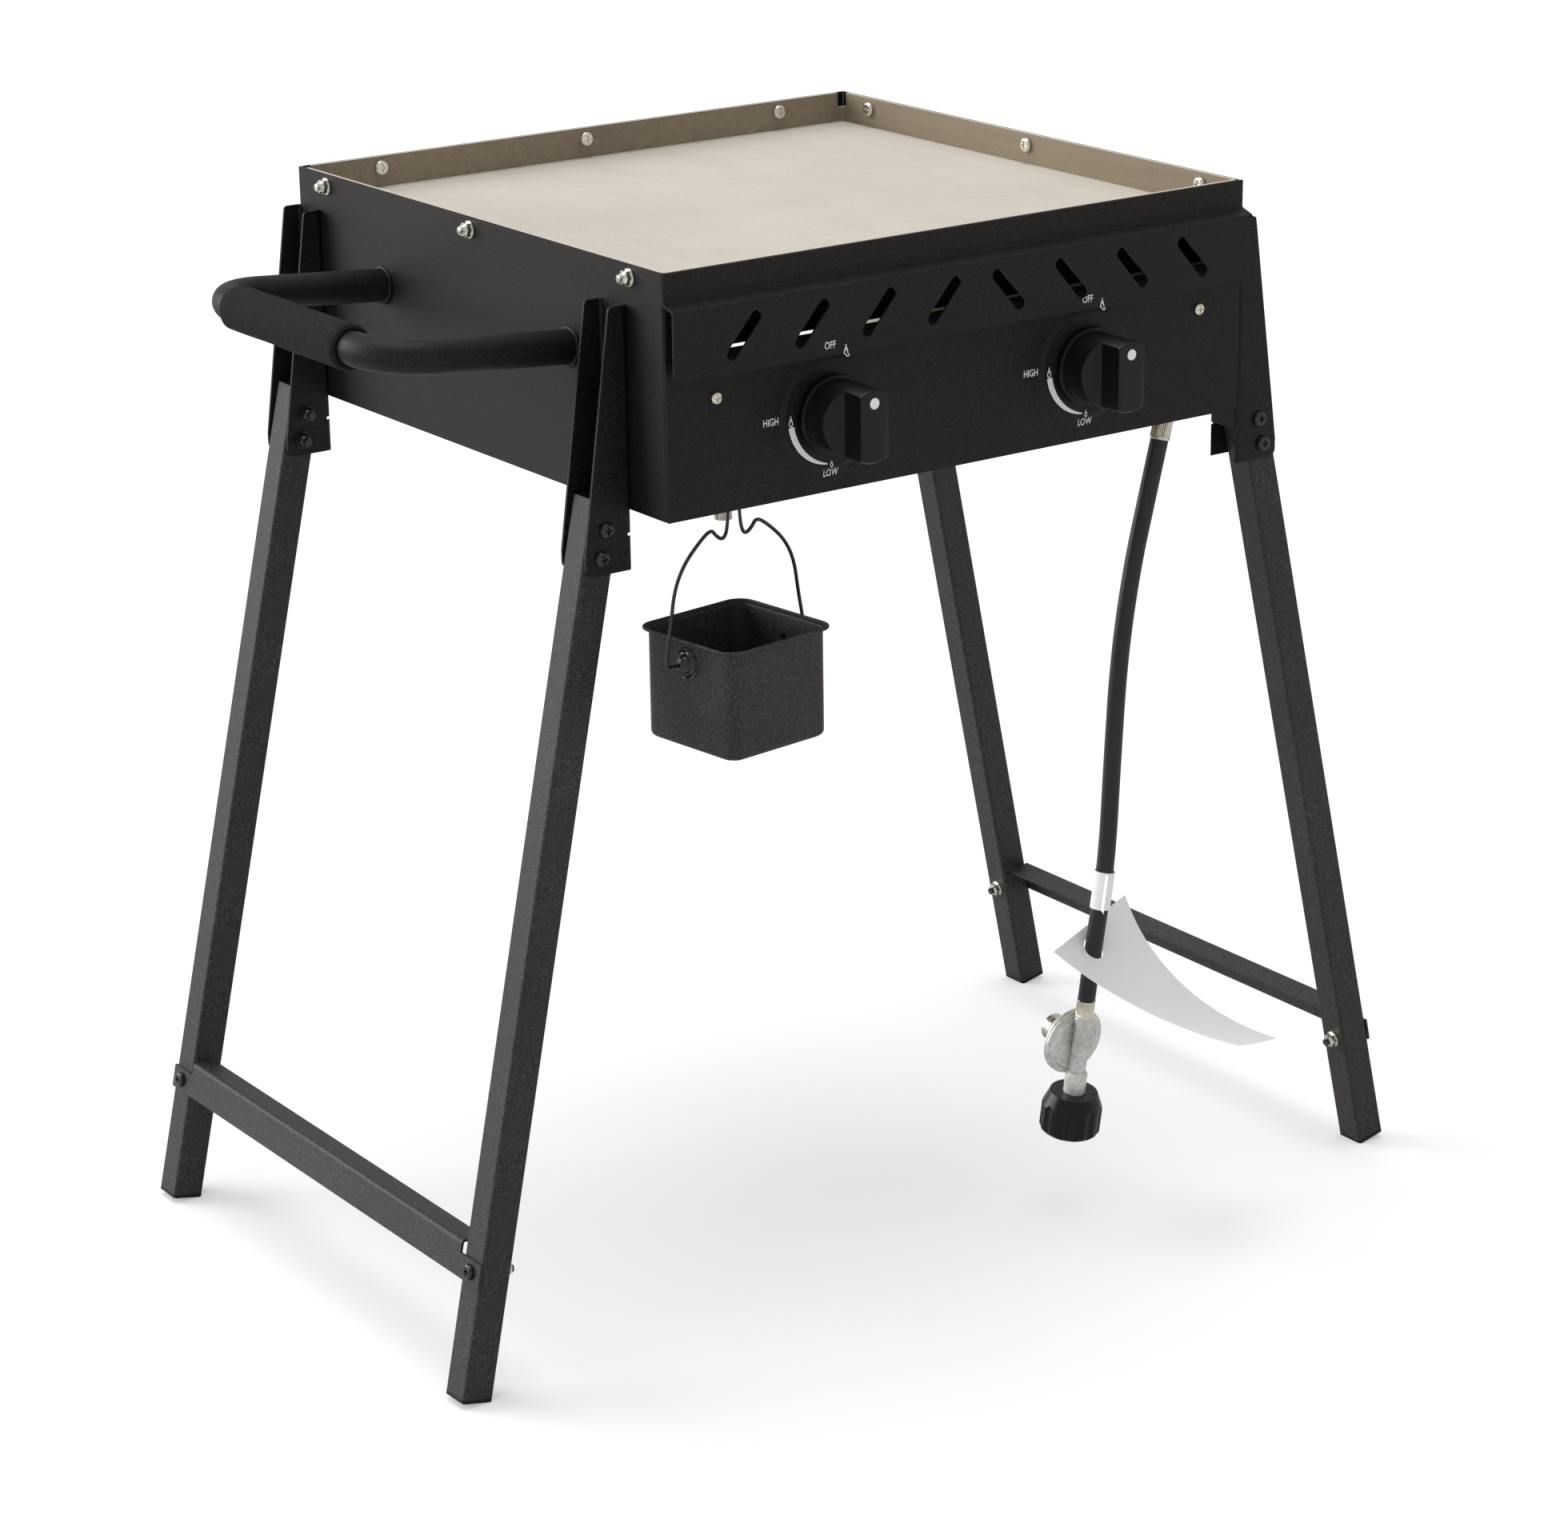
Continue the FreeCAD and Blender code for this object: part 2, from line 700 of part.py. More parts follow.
def make_knob(x):
    """Round gas knob: on both sides of its grip bar the body ends at a floor that slopes out to the bar."""
    back = front_y - knob_panel_gap
    front = back - knob_length
    face = V(x, back, knob_height)
    out = V(0, -1, 0)
    skirt = rod(knob_skirt_radius, face, face + out * knob_skirt_thickness)
    body = Part.makeCone(knob_body_radius, knob_front_radius, knob_length, face, out)
    tip = [e for e in body.Edges if abs(e.CenterOfMass.y - front) < 1e-6]
    body = body.makeFillet(knob_edge_radius, tip[:1])
    foot_y = front + knob_grip_length
    edge_y = foot_y + knob_floor_slope
    low = V(0, 0, knob_height - 2.0 * knob_body_radius)
    for side in (-1, 1):
        inner = V(x + side * knob_grip_width / 2.0, 0, 0)
        outer = V(x + side * knob_body_radius, 0, 0)
        past = (outer - inner) * 0.5
        slope = V(0, (edge_y - foot_y) * 0.5, 0)
        points = [inner + V(0, front - 1.0, 0), inner + V(0, foot_y, 0), outer + V(0, edge_y, 0) + past + slope]
        points.append(outer + V(0, front - 1.0, 0) + past)
        scoop = plate([point + low for point in points], [0, knob_foot_radius, 0, 0], V(0, 0, 4.0 * knob_body_radius))
        body = body.cut(scoop)
    body = body.removeSplitter()
    knob = skirt.fuse(body).removeSplitter()
    bore = rod(stem_radius + stem_clearance, face, face + out * stem_in_knob)
    flat = box(x - stem_radius, x + stem_radius, back - stem_in_knob, back,
               knob_height + stem_flat, knob_height + stem_radius + 1.0)
    return knob.cut(bore.cut(flat))


def stem_shape(x, start_y, end_y, clearance):
    """Round stem with one flat, between two depths."""
    stem = rod(stem_radius + clearance, V(x, start_y, knob_height), V(x, end_y, knob_height))
    flat = box(x - 2.0 * stem_radius, x + 2.0 * stem_radius, start_y - 1.0, end_y + 1.0,
               knob_height + stem_flat + clearance, knob_height + 2.0 * stem_radius)
    return stem.cut(flat)


def make_stem(x):
    back = front_y - knob_panel_gap
    return stem_shape(x, back - stem_in_knob + stem_clearance, plug_front + stem_in_plug, 0.0)


def make_plug(x):
    """Turning plug of the gas valve: the stem slides in its bore, and a slot in it meters the gas."""
    plug = rod(plug_radius, V(x, plug_front, knob_height), V(x, plug_front + plug_length, knob_height))
    plug = plug.cut(stem_shape(x, plug_front - 1.0, plug_front + stem_in_plug + knob_push + 1.0, stem_clearance))
    across = V(x, manifold_y, knob_height)
    return plug.cut(rod(plug_port_radius, across, across - V(0, 0, plug_radius + 1.0)))


def make_valve_body(x):
    """Valve body screwed to the back of the control panel, with a neck down to the manifold."""
    face = V(x, valve_front, knob_height)
    back = face + V(0, valve_length, 0)
    flange_half = valve_screw_offset + valve_flange_end
    flange = box(x - flange_half, x + flange_half, valve_front, valve_front + valve_flange, knob_height - valve_radius,
                 knob_height + valve_radius)
    body = rod(valve_radius, face, back).fuse(flange)
    neck_top = V(x, manifold_y, knob_height)
    neck_end = V(x, manifold_y, manifold_height + manifold_radius - manifold_wall)
    body = body.fuse(rod(valve_neck_radius, neck_top, neck_end)).removeSplitter()
    body = body.cut(rod(plug_radius + running_gap, V(x, plug_front - running_gap, knob_height),
                        V(x, plug_front + plug_length + running_gap, knob_height)))
    body = body.cut(rod(stem_radius + running_gap, face - V(0, 1, 0), V(x, plug_front, knob_height)))
    body = body.cut(rod(plug_port_radius, neck_top, neck_end - V(0, 0, 1)))
    body = body.cut(rod(plug_port_radius, V(x, plug_front, knob_height), back + V(0, 1, 0)))
    for side in (-1, 1):
        hole = face + V(side * valve_screw_offset, 0, 0)
        body = body.cut(rod(m4_radius + stem_clearance, hole - V(0, 1, 0), hole + V(0, valve_flange + 1.0, 0)))
    return body


def make_jet(x):
    """Brass jet on the back of a valve, blowing into the burner's mouth."""
    seat = V(x, valve_front + valve_length, knob_height)
    jet = rod(jet_radius, seat, seat + V(0, jet_length, 0))
    collar = hex_nut(seat, V(0, 1, 0), jet_bore, 2.0 * jet_radius + 3.0, 5.0, jet_radius + 2.0, 1.0)
    jet = jet.fuse(collar).removeSplitter()
    return jet.cut(rod(jet_bore, seat - V(0, 1, 0), seat + V(0, jet_length + 1.0, 0)))


def make_burner(x):
    """Straight tube burner: narrow mouth, cone, ported tube closed at the back, and two feet."""
    centre = V(x, 0, knob_height)
    mouth = centre + V(0, burner_front, 0)
    cone = mouth + V(0, burner_neck_length, 0)
    full = cone + V(0, burner_cone_length, 0)
    end = centre + V(0, burner_end, 0)
    outer = rod(burner_neck_radius, mouth, cone)
    outer = outer.fuse(Part.makeCone(burner_neck_radius, burner_radius, burner_cone_length, cone, V(0, 1, 0)))
    outer = outer.fuse(rod(burner_radius, full, end))
    for y in burner_rail_y:
        foot = box(x - burner_foot_width / 2.0, x + burner_foot_width / 2.0, y - burner_foot_length / 2.0,
                   y + burner_foot_length / 2.0, knob_height - burner_radius - burner_foot_drop, knob_height)
        outer = outer.fuse(foot)
    outer = outer.removeSplitter()
    inner = rod(burner_neck_radius - burner_wall, mouth - V(0, 1, 0), cone)
    inner = inner.fuse(Part.makeCone(burner_neck_radius - burner_wall, burner_radius - burner_wall,
                                     burner_cone_length, cone, V(0, 1, 0)))
    inner = inner.fuse(rod(burner_radius - burner_wall, full, end - V(0, burner_wall, 0)))
    burner = outer.cut(inner)
    first = full + V(0, port_pitch, 0)
    ports = []
    for i in range(port_count):
        for turn in (-port_angle, port_angle):
            lean = math.radians(turn)
            outward = V(math.sin(lean), 0, math.cos(lean))
            start = first + V(0, i * port_pitch, 0) + outward * (burner_radius - 2.0 * burner_wall)
            ports.append(rod(port_radius, start, start + outward * 3.0 * burner_wall))
    burner = burner.cut(Part.makeCompound(ports))
    for y in burner_rail_y:
        seat = V(x, y, knob_height - burner_radius - burner_foot_drop)
        burner = burner.cut(rod(m5_radius + stem_clearance, seat - V(0, 0, 1), seat + V(0, 0, short_screw_length)))
    return burner


def make_rail(front, top, flange, drop):
    """Angle across the box, welded to both side panels."""
    x = -side_x + sheet
    height = top - sheet / 2.0
    line = [V(x, front, height), V(x, front + flange, height), V(x, front + flange, height - drop)]
    return bent_sheet(line, sheet, bend_radius, V(body_width - 2.0 * sheet, 0, 0))


def make_burner_rails():
    rails = []
    top = knob_height - burner_radius - burner_foot_drop
    for y in burner_rail_y:
        rail = make_rail(y - burner_rail_flange / 2.0, top, burner_rail_flange, burner_rail_drop)
        for x in knob_x:
            rail = rail.cut(rod(m5_hole, V(x, y, top - 5.0), V(x, y, top + 5.0)))
        rails.append(rail)
    return rails


def make_burner_screws():
    screws = []
    top = knob_height - burner_radius - burner_foot_drop
    for y in burner_rail_y:
        for x in knob_x:
            screws.append(pan_screw(V(x, y, top - sheet), V(0, 0, -1), m5_radius, short_screw_length,
                                    m5_head_radius, m5_head_height))
    return screws


def make_gas_rail():
    """Angle that carries the manifold, open round the hose fitting and the grease outlet."""
    top = manifold_height - manifold_radius
    rail = make_rail(gas_rail_front, top, gas_rail_flange, top - body_bottom - sheet)
    open_left = manifold_right_end - collar_length - gas_rail_margin
    open_right = hose_top.x + 2.0 * manifold_radius
    rail = rail.cut(box(open_left, open_right, gas_rail_front - 1.0, gas_rail_front + gas_rail_flange - 3.0,
                        top - 2.0 * sheet, top + 1.0))
    rail = rail.cut(rod(spout_radius + 2.0, V(spout_x, spout_y, top - 5.0), V(spout_x, spout_y, top + 5.0)))
    for x in clamp_x:
        rail = rail.cut(rod(m5_radius + stem_clearance, V(x, clamp_screw_y, top - 5.0), V(x, clamp_screw_y, top + 5.0)))
    return rail


def make_clamp(x):
    """Strap over the manifold with one foot screwed to the rail."""
    top = manifold_height - manifold_radius
    middle = manifold_radius + running_gap + clamp_thickness / 2.0
    start = V(x - clamp_width / 2.0, manifold_y - middle, top)
    line = [start, V(start.x, start.y, manifold_height + middle), V(start.x, manifold_y + middle, manifold_height + middle)]
    line += [V(start.x, manifold_y + middle, top + clamp_thickness / 2.0)]
    line += [V(start.x, clamp_screw_y + m5_head_radius + 1.0, top + clamp_thickness / 2.0)]
    bends = (manifold_radius, manifold_radius, clamp_thickness / 2.0)
    clamp = bent_sheet(line, clamp_thickness, bends, V(clamp_width, 0, 0))
    return clamp.cut(rod(m5_hole, V(x, clamp_screw_y, top - 5.0), V(x, clamp_screw_y, top + 5.0)))


def make_manifold():
    """Gas pipe behind the panel: closed at the left, open to the hose fitting at the right."""
    left = V(manifold_left_end, manifold_y, manifold_height)
    right = V(manifold_right_end, manifold_y, manifold_height)
    pipe = rod(manifold_radius, left, right)
    pipe = pipe.cut(rod(manifold_radius - manifold_wall, left + V(manifold_wall, 0, 0), right + V(1, 0, 0)))
    for x in knob_x:
        middle = V(x, manifold_y, manifold_height)
        pipe = pipe.cut(rod(valve_neck_radius + stem_clearance, middle, middle + V(0, 0, 2.0 * manifold_radius)))
    return pipe


def make_inlet():
    """Collar on the manifold and an elbow down to the hose."""
    rise = (manifold_height - hose_top.z) / hose_up.z
    corner = hose_top + hose_up * rise
    start = V(manifold_right_end, manifold_y, manifold_height)
    path = rounded_path([start, corner, hose_top], [elbow_radius])
    fitting = swept(path, manifold_radius, start, V(1, 0, 0))
    collar = rod(manifold_radius + collar_wall, start - V(collar_length, 0, 0), start + V(collar_wall, 0, 0))
    fitting = fitting.fuse(collar).removeSplitter()
    fitting = fitting.cut(rod(manifold_radius + stem_clearance, start - V(collar_length + 1.0, 0, 0), start))
    return fitting.cut(swept(path, gas_bore, start, V(1, 0, 0)))


def make_spout():
    """Grease tube under the tray with a welded stud for the bucket's bail."""
    top = V(spout_x, spout_y, plate_bottom)
    bottom = V(spout_x, spout_y, body_bottom - spout_below_body)
    spout = rod(spout_radius, bottom, top)
    spout = spout.fuse(rod(2.0 * spout_radius, top - V(0, 0, plate_thickness / 2.0), top))
    hook = V(spout_x, spout_y, hook_height)
    tip = V(spout_x, front_y + sheet + hook_front_gap, hook_height)
    spout = spout.fuse(rod(hook_radius, tip, hook)).fuse(rod(hook_radius + 1.0, tip, tip + V(0, 1.2, 0)))
    spout = spout.removeSplitter()
    return spout.cut(rod(spout_bore, bottom - V(0, 0, 1), top + V(0, 0, 1)))


def bail_frame():
    """Plane of the bail: local x runs from ear to ear, local y straight back."""
    return FreeCAD.Placement(V(spout_x, bail_y, 0), FreeCAD.Rotation(V(0, 0, 1), bail_turn))


def make_bail():
    """Wire bail: an upside-down U over the hook, shoulders, long arms, and ends turned into the ears."""
    top = hook_height + hook_radius + bail_wire + bail_seat_gap
    inside = bucket_width / 2.0 - bail_end_inside
    half = [V(inside, 0, ear_height), V(bail_half_width, 0, ear_height)]
    half += [V(x, 0, ear_height + rise) for x, rise in bail_shoulder]
    half += [V(bail_loop_half, 0, ear_height + bail_loop_rise), V(bail_loop_half, 0, top)]
    points = half + [V(-p.x, 0, p.z) for p in half[::-1]]
    path = rounded_path(points, bail_bends + bail_bends[::-1])
    wire = swept(path, bail_wire, points[0], V(1, 0, 0))
    wire.Placement = bail_frame().multiply(wire.Placement)
    return wire


def square_block(half, corner, low, high):
    """Upright block with rounded corners about the local axis."""
    points = [V(-half, -half, low), V(half, -half, low), V(half, half, low), V(-half, half, low)]
    return plate(points, [corner] * 4, V(0, 0, high - low))


def make_bucket():
    """Deep-drawn square bucket with a rolled lip."""
    half = bucket_width / 2.0
    floor = bucket_top - bucket_height
    outer = square_block(half, bucket_corner, floor, bucket_top)
    low = [e for e in outer.Edges if abs(e.BoundBox.ZMax - floor) < 1e-6]
    outer = outer.makeFillet(bucket_floor_corner, low)
    inner = square_block(half - bucket_sheet, bucket_corner - bucket_sheet, floor + bucket_sheet, bucket_top + 1.0)
    low = [e for e in inner.Edges if abs(e.BoundBox.ZMax - floor - bucket_sheet) < 1e-6]
    inner = inner.makeFillet(bucket_floor_corner - bucket_sheet, low)
    lip = square_block(half + bucket_lip, bucket_corner + bucket_lip, bucket_top - bucket_lip_height, bucket_top)
    hollow = square_block(half + bucket_lip - bucket_sheet, bucket_corner + bucket_lip - bucket_sheet,
                          bucket_top - bucket_lip_height - 1.0, bucket_top - bucket_sheet)
    bucket = outer.fuse(lip.cut(hollow)).cut(inner).removeSplitter()
    reach = V(half + 5.0, 0, 0)
    hole = V(0, 0, ear_height)
    bucket = bucket.cut(rod(bail_wire + 2.0 * running_gap, hole - reach, hole + reach))
    bucket.Placement = bail_frame().multiply(bucket.Placement)
    return bucket


def make_ears():
    """Dished ears that carry the bail ends, one on each side of the bucket."""
    ears = []
    for side in (-1, 1):
        seat = V(side * bucket_width / 2.0, 0, ear_height)
        out = V(side, 0, 0)
        ear = rod(ear_radius, seat, seat + out)
        ear = ear.fuse(Part.makeCone(ear_radius - 1.0, ear_neck_radius, ear_thickness, seat, out)).removeSplitter()
        ear = ear.cut(rod(bail_wire + running_gap, seat - out, seat + out * (ear_thickness + 1.0)))
        ear.Placement = bail_frame().multiply(ear.Placement)
        ears.append(ear)
    return ears


def make_bracket(side, end):
    """Tapered channel on the side of the box, open outward, that holds the top of a leg."""
    row = leg_row(side, end)
    half = bracket_width / 2.0 - bracket_sheet / 2.0
    web = side_x + bracket_sheet / 2.0
    rim = side_x + bracket_bottom_reach
    line = [V(rim, row - half, bracket_bottom), V(web, row - half, bracket_bottom)]
    line += [V(web, row + half, bracket_bottom), V(rim, row + half, bracket_bottom)]
    bracket = bent_sheet(line, bracket_sheet, bracket_sheet, V(0, 0, bracket_top - bracket_bottom))
    y = row - bracket_width
    shape = [V(side_x - 1.0, y, bracket_bottom), V(rim, y, bracket_bottom), V(rim, y, bracket_taper_end)]
    shape += [V(side_x + bracket_top_reach, y, bracket_top), V(side_x - 1.0, y, bracket_top)]
    rounding = [0, bracket_corner, bracket_corner, bracket_corner / 2.0, 0]
    bracket = bracket.common(plate(shape, rounding, V(0, 2.0 * bracket_width, 0)))
    inner = channel_width / 2.0
    bracket = bracket.cut(box(side_x - 1.0, side_x + 2.0 * bracket_sheet, row - inner, row + inner,
                              bracket_bottom - 1.0, bracket_web_end))
    bracket = bracket.cut(box(side_x - 1.0, side_x + 2.0 * bracket_sheet, row - bracket_width, row + bracket_width,
                              bracket_web_end - relief_radius, bracket_web_end))
    for tool in leg_tools(row):
        bracket = bracket.cut(tool)
    for height in rivet_heights:
        centre = V(side_x, row, height)
        bracket = bracket.cut(rod(rivet_hole, centre - V(5, 0, 0), centre + V(5, 0, 0)))
    return on_side(bracket, side)


def make_rivets():
    """Rivets that hold the leg brackets to the box."""
    rivets = []
    for side in (-1, 1):
        for end in (-1, 1):
            for height in rivet_heights:
                outside = V(side_x + bracket_sheet, leg_row(side, end), height)
                inside = V(side_x - sheet, leg_row(side, end), height)
                rivet = rod(rivet_radius, inside, outside)
                for seat, out in ((outside, V(1, 0, 0)), (inside, V(-1, 0, 0))):
                    rivet = rivet.fuse(Part.makeCone(rivet_head_radius, rivet_radius, rivet_head_height, seat, out))
                rivets.append(on_side(rivet.removeSplitter(), side))
    return rivets


def leg_frame(side, end):
    """Leg axis at its pivot, splayed with its set and flared toward its own end."""
    flare = FreeCAD.Placement(V(0, 0, 0), FreeCAD.Rotation(V(1, 0, 0), end * leg_flare))
    return side_frame(leg_row(side, end)).multiply(flare)


def make_leg(side, end):
    """Square tube leg with its bolt holes."""
    low = -leg_length
    leg = square_block(leg_width / 2.0, leg_corner, low, leg_above_pivot)
    leg = leg.cut(square_block(leg_width / 2.0 - leg_wall, leg_corner - leg_wall, low - 1.0, leg_above_pivot + 1.0))
    leg.Placement = leg_frame(side, end)
    for tool in leg_tools(leg_row(side, end)):
        leg = leg.cut(tool)
    hole = rod(m6_hole, V(-leg_width, 0, -brace_distance), V(leg_width, 0, -brace_distance))
    hole.Placement = side_frame(brace_row(side, end))
    return on_side(leg.cut(hole), side)


def make_foot_caps():
    """Plastic caps pressed into the leg ends, worn flat where they meet the floor."""
    caps = []
    low = -leg_length
    for side in (-1, 1):
        for end in (-1, 1):
            cap = square_block(leg_width / 2.0, leg_corner, low - foot_cap_thickness, low)
            plug_half = leg_width / 2.0 - leg_wall - foot_plug_gap
            cap = cap.fuse(square_block(plug_half, leg_corner - leg_wall, low, low + foot_plug_length)).removeSplitter()
            cap.Placement = leg_frame(side, end)
            above = box(0, body_width, -body_depth, body_depth, 0, pivot_height)
            caps.append(on_side(cap.common(above), side))
    return caps


def make_brace(side):
    """Angle between a pair of legs: tabs on their outer faces, top edge turned in between them."""
    outside = leg_width / 2.0
    front = brace_row(side, -1)
    rear = brace_row(side, 1)
    top = -brace_distance + brace_tab / 2.0 + brace_shoulder
    bottom = -brace_distance - brace_tab / 2.0
    y0 = front - outside
    web = outside + brace_sheet / 2.0
    line = [V(web - brace_flange, y0, top - brace_sheet / 2.0), V(web, y0, top - brace_sheet / 2.0), V(web, y0, bottom)]
    brace = bent_sheet(line, brace_sheet, bend_radius, V(0, rear - front + leg_width, 0))
    for centre in (front, rear):
        near = centre - outside - brace_flange_gap
        far = centre + outside + brace_flange_gap
        brace = brace.cut(box(-leg_width, leg_width, near, far, bottom + brace_tab, top + 1.0))
        brace = brace.cut(rod(m6_hole, V(0, centre, -brace_distance), V(leg_width, centre, -brace_distance)))
    brace.Placement = side_frame(0.0)
    return on_side(brace, side)


def leg_bolt_places():
    """Head seat, way out and side of each pivot and lock bolt."""
    places = []
    for side in (-1, 1):
        for end in (-1, 1):
            row = leg_row(side, end)
            pivot = V(side_x + pivot_out, row, pivot_height)
            for centre in (pivot, pivot + V(lock_dx, 0, -lock_dz)):
                places.append((centre + V(0, end * bracket_width / 2.0, 0), V(0, end, 0), side))
    return places


def make_leg_bolts():
    bolts = []
    length = bracket_width + washer_height + nut_height + bolt_end
    for seat, out, side in leg_bolt_places():
        bolts.append(on_side(pan_screw(seat, out, m6_radius, length, pan_head_radius, pan_head_height), side))
    return bolts


def make_leg_washers():
    washers = []
    for seat, out, side in leg_bolt_places():
        far = seat - out * bracket_width
        washers.append(on_side(tube(washer_radius, m6_radius + stem_clearance, far, far - out * washer_height), side))
    return washers


def make_leg_nuts():
    nuts = []
    for seat, out, side in leg_bolt_places():
        far = seat - out * (bracket_width + washer_height)
        back = V(0, 0, 0) - out
        nuts.append(on_side(hex_nut(far, back, m6_radius + stem_clearance, nut_flats, nut_height, nut_flats / 2.0, 0.5), side))
    return nuts


def make_brace_bolts():
    bolts = []
    outside = leg_width / 2.0 + brace_sheet
    length = outside + leg_width / 2.0 + nut_height + bolt_end
    for side in (-1, 1):
        for end in (-1, 1):
            bolt = pan_screw(V(outside, 0, -brace_distance), V(1, 0, 0), m6_radius, length, pan_head_radius, pan_head_height)
            bolt.Placement = side_frame(brace_row(side, end))
            bolts.append(on_side(bolt, side))
    return bolts


def make_brace_nuts():
    nuts = []
    for side in (-1, 1):
        for end in (-1, 1):
            seat = V(-leg_width / 2.0, 0, -brace_distance)
            nut = hex_nut(seat, V(-1, 0, 0), m6_radius + stem_clearance, nut_flats, nut_height, washer_radius, washer_height)
            nut.Placement = side_frame(brace_row(side, end))
            nuts.append(on_side(nut, side))
    return nuts


def make_rim_bolts():
    length = tray_wall + sheet + nut_height + bolt_end
    bolts = []
    for seat, out in rim_bolt_places():
        back = V(0, 0, 0) - out
        bolts.append(pan_screw(seat, back, m6_radius, length, pan_head_radius, pan_head_height))
    return bolts


def make_rim_nuts():
    nuts = []
    for seat, out in rim_bolt_places():
        outside = seat + out * (tray_wall + sheet)
        nuts.append(hex_nut(outside, out, m6_radius + stem_clearance, nut_flats, nut_height, washer_radius, washer_height))
    return nuts


def make_panel_screws():
    screws = []
    for side in (-1, 1):
        seat = V(side * panel_screw_x, front_y, panel_screw_height)
        screws.append(pan_screw(seat, V(0, -1, 0), m5_radius, short_screw_length, m5_head_radius, m5_head_height))
    return screws


def make_valve_screws():
    screws = []
    for x in knob_x:
        for side in (-1, 1):
            seat = V(x + side * valve_screw_offset, valve_front + valve_flange, knob_height)
            screws.append(pan_screw(seat, V(0, 1, 0), m4_radius, valve_flange + sheet, m4_head_radius, m4_head_height))
    return screws


def make_clamp_screws():
    screws = []
    for x in clamp_x:
        seat = V(x, clamp_screw_y, manifold_height - manifold_radius + clamp_thickness)
        screws.append(pan_screw(seat, V(0, 0, 1), m5_radius, short_screw_length, m5_head_radius, m5_head_height))
    return screws


def handle_points():
    """Roots and corners of the carrying handle on the left side."""
    half = handle_spacing / 2.0
    inward = V(handle_reach, 0, -handle_rise).normalize() * (2.0 * handle_radius)
    far_x = -side_x - handle_reach
    roots = [V(-side_x, -half, handle_height) + inward, V(-side_x, half, handle_height) + inward]
    top = handle_height + handle_rise
    return [roots[0], V(far_x, -half, top), V(far_x, half, top), roots[1]]


def handle_solid(radius):
    points = handle_points()
    path = rounded_path(points, [handle_bend, handle_bend])
    return swept(path, radius, points[0], points[1] - points[0])


def outside_left():
    """Everything to the left of the left side panel."""
    reach = 2.0 * handle_reach
    return box(-side_x - reach, -side_x, -body_depth, body_depth, 0, deck_height + handle_reach)


def make_handle_tube():
    return handle_solid(handle_radius).cut(handle_solid(handle_radius - handle_wall)).common(outside_left())


def make_grip():
    x = -side_x - handle_reach
    z = handle_height + handle_rise
    start = V(x, -grip_length / 2.0, z)
    end = V(x, grip_length / 2.0, z)
    grip = rod(grip_radius, start, end)
    grip = grip.makeFillet(grip_edge, [e for e in grip.Edges if e.Closed])
    return grip.cut(rod(handle_radius + grip_gap, start - V(0, 1, 0), end + V(0, 1, 0)))


def make_handle_plugs():
    """Threaded plugs in the handle's roots."""
    plugs = []
    points = handle_points()
    for root, corner in ((points[0], points[1]), (points[3], points[2])):
        way = (corner - root).normalize()
        plug = rod(handle_radius - handle_wall - stem_clearance, root, root + way * (2.0 * handle_radius + handle_plug_length))
        seat = V(-side_x, root.y, handle_height)
        plug = plug.common(outside_left())
        plugs.append(plug.cut(rod(m8_radius + stem_clearance, seat, seat - V(2.0 * handle_plug_length, 0, 0))))
    return plugs


def make_handle_screws():
    screws = []
    for y in (-handle_spacing / 2.0, handle_spacing / 2.0):
        seat = V(-side_x + sheet, y, handle_height)
        length = sheet + handle_plug_length - 2.0
        screws.append(pan_screw(seat, V(1, 0, 0), m8_radius, length, m8_head_radius, m8_head_height))
    return screws


def hose_radii():
    """Bend radius at each inner point: as large as its two runs allow."""
    radii = []
    for i in range(1, len(hose_points) - 1):
        back = hose_points[i - 1] - hose_points[i]
        on = hose_points[i + 1] - hose_points[i]
        turn = math.pi - back.getAngle(on)
        radii.append(0.45 * min(back.Length, on.Length) / math.tan(turn / 2.0))
    return radii


def make_hose():
    path = rounded_path(hose_points, hose_radii())
    hose = swept(path, hose_radius, hose_points[0], hose_points[1] - hose_points[0])
    print("hose bend radii", [round(r) for r in hose_radii()], "length", round(path.Length, 1),
          "volume ratio", round(hose.Volume / (math.pi * hose_radius ** 2 * path.Length), 4))
    return hose


def make_top_ferrule():
    return tube(ferrule_radius, gas_bore, hose_points[0], hose_top)


def regulator_frame():
    """Middle of the regulator's disc: it hangs in line with the hose's last run, below the end ferrule."""
    lean = math.degrees(math.atan2(hose_end_up.x, hose_end_up.z))
    tilt = -math.degrees(math.asin(hose_end_up.y))
    turn = FreeCAD.Rotation(V(0, 1, 0), lean).multiply(FreeCAD.Rotation(V(1, 0, 0), tilt))
    inlet = V(0, regulator_pipe_y, regulator_inlet_z + end_ferrule_length)
    return FreeCAD.Placement(hose_points[-1] - turn.multVec(inlet), turn)


def placed(shape):
    """Move a piece made in the regulator's frame to its place on the hose."""
    shape.Placement = regulator_frame().multiply(shape.Placement)
    return shape


def make_end_ferrule():
    low = V(0, regulator_pipe_y, regulator_inlet_z)
    return placed(tube(ferrule_radius - 0.5, gas_bore, low, low + V(0, 0, end_ferrule_length)))


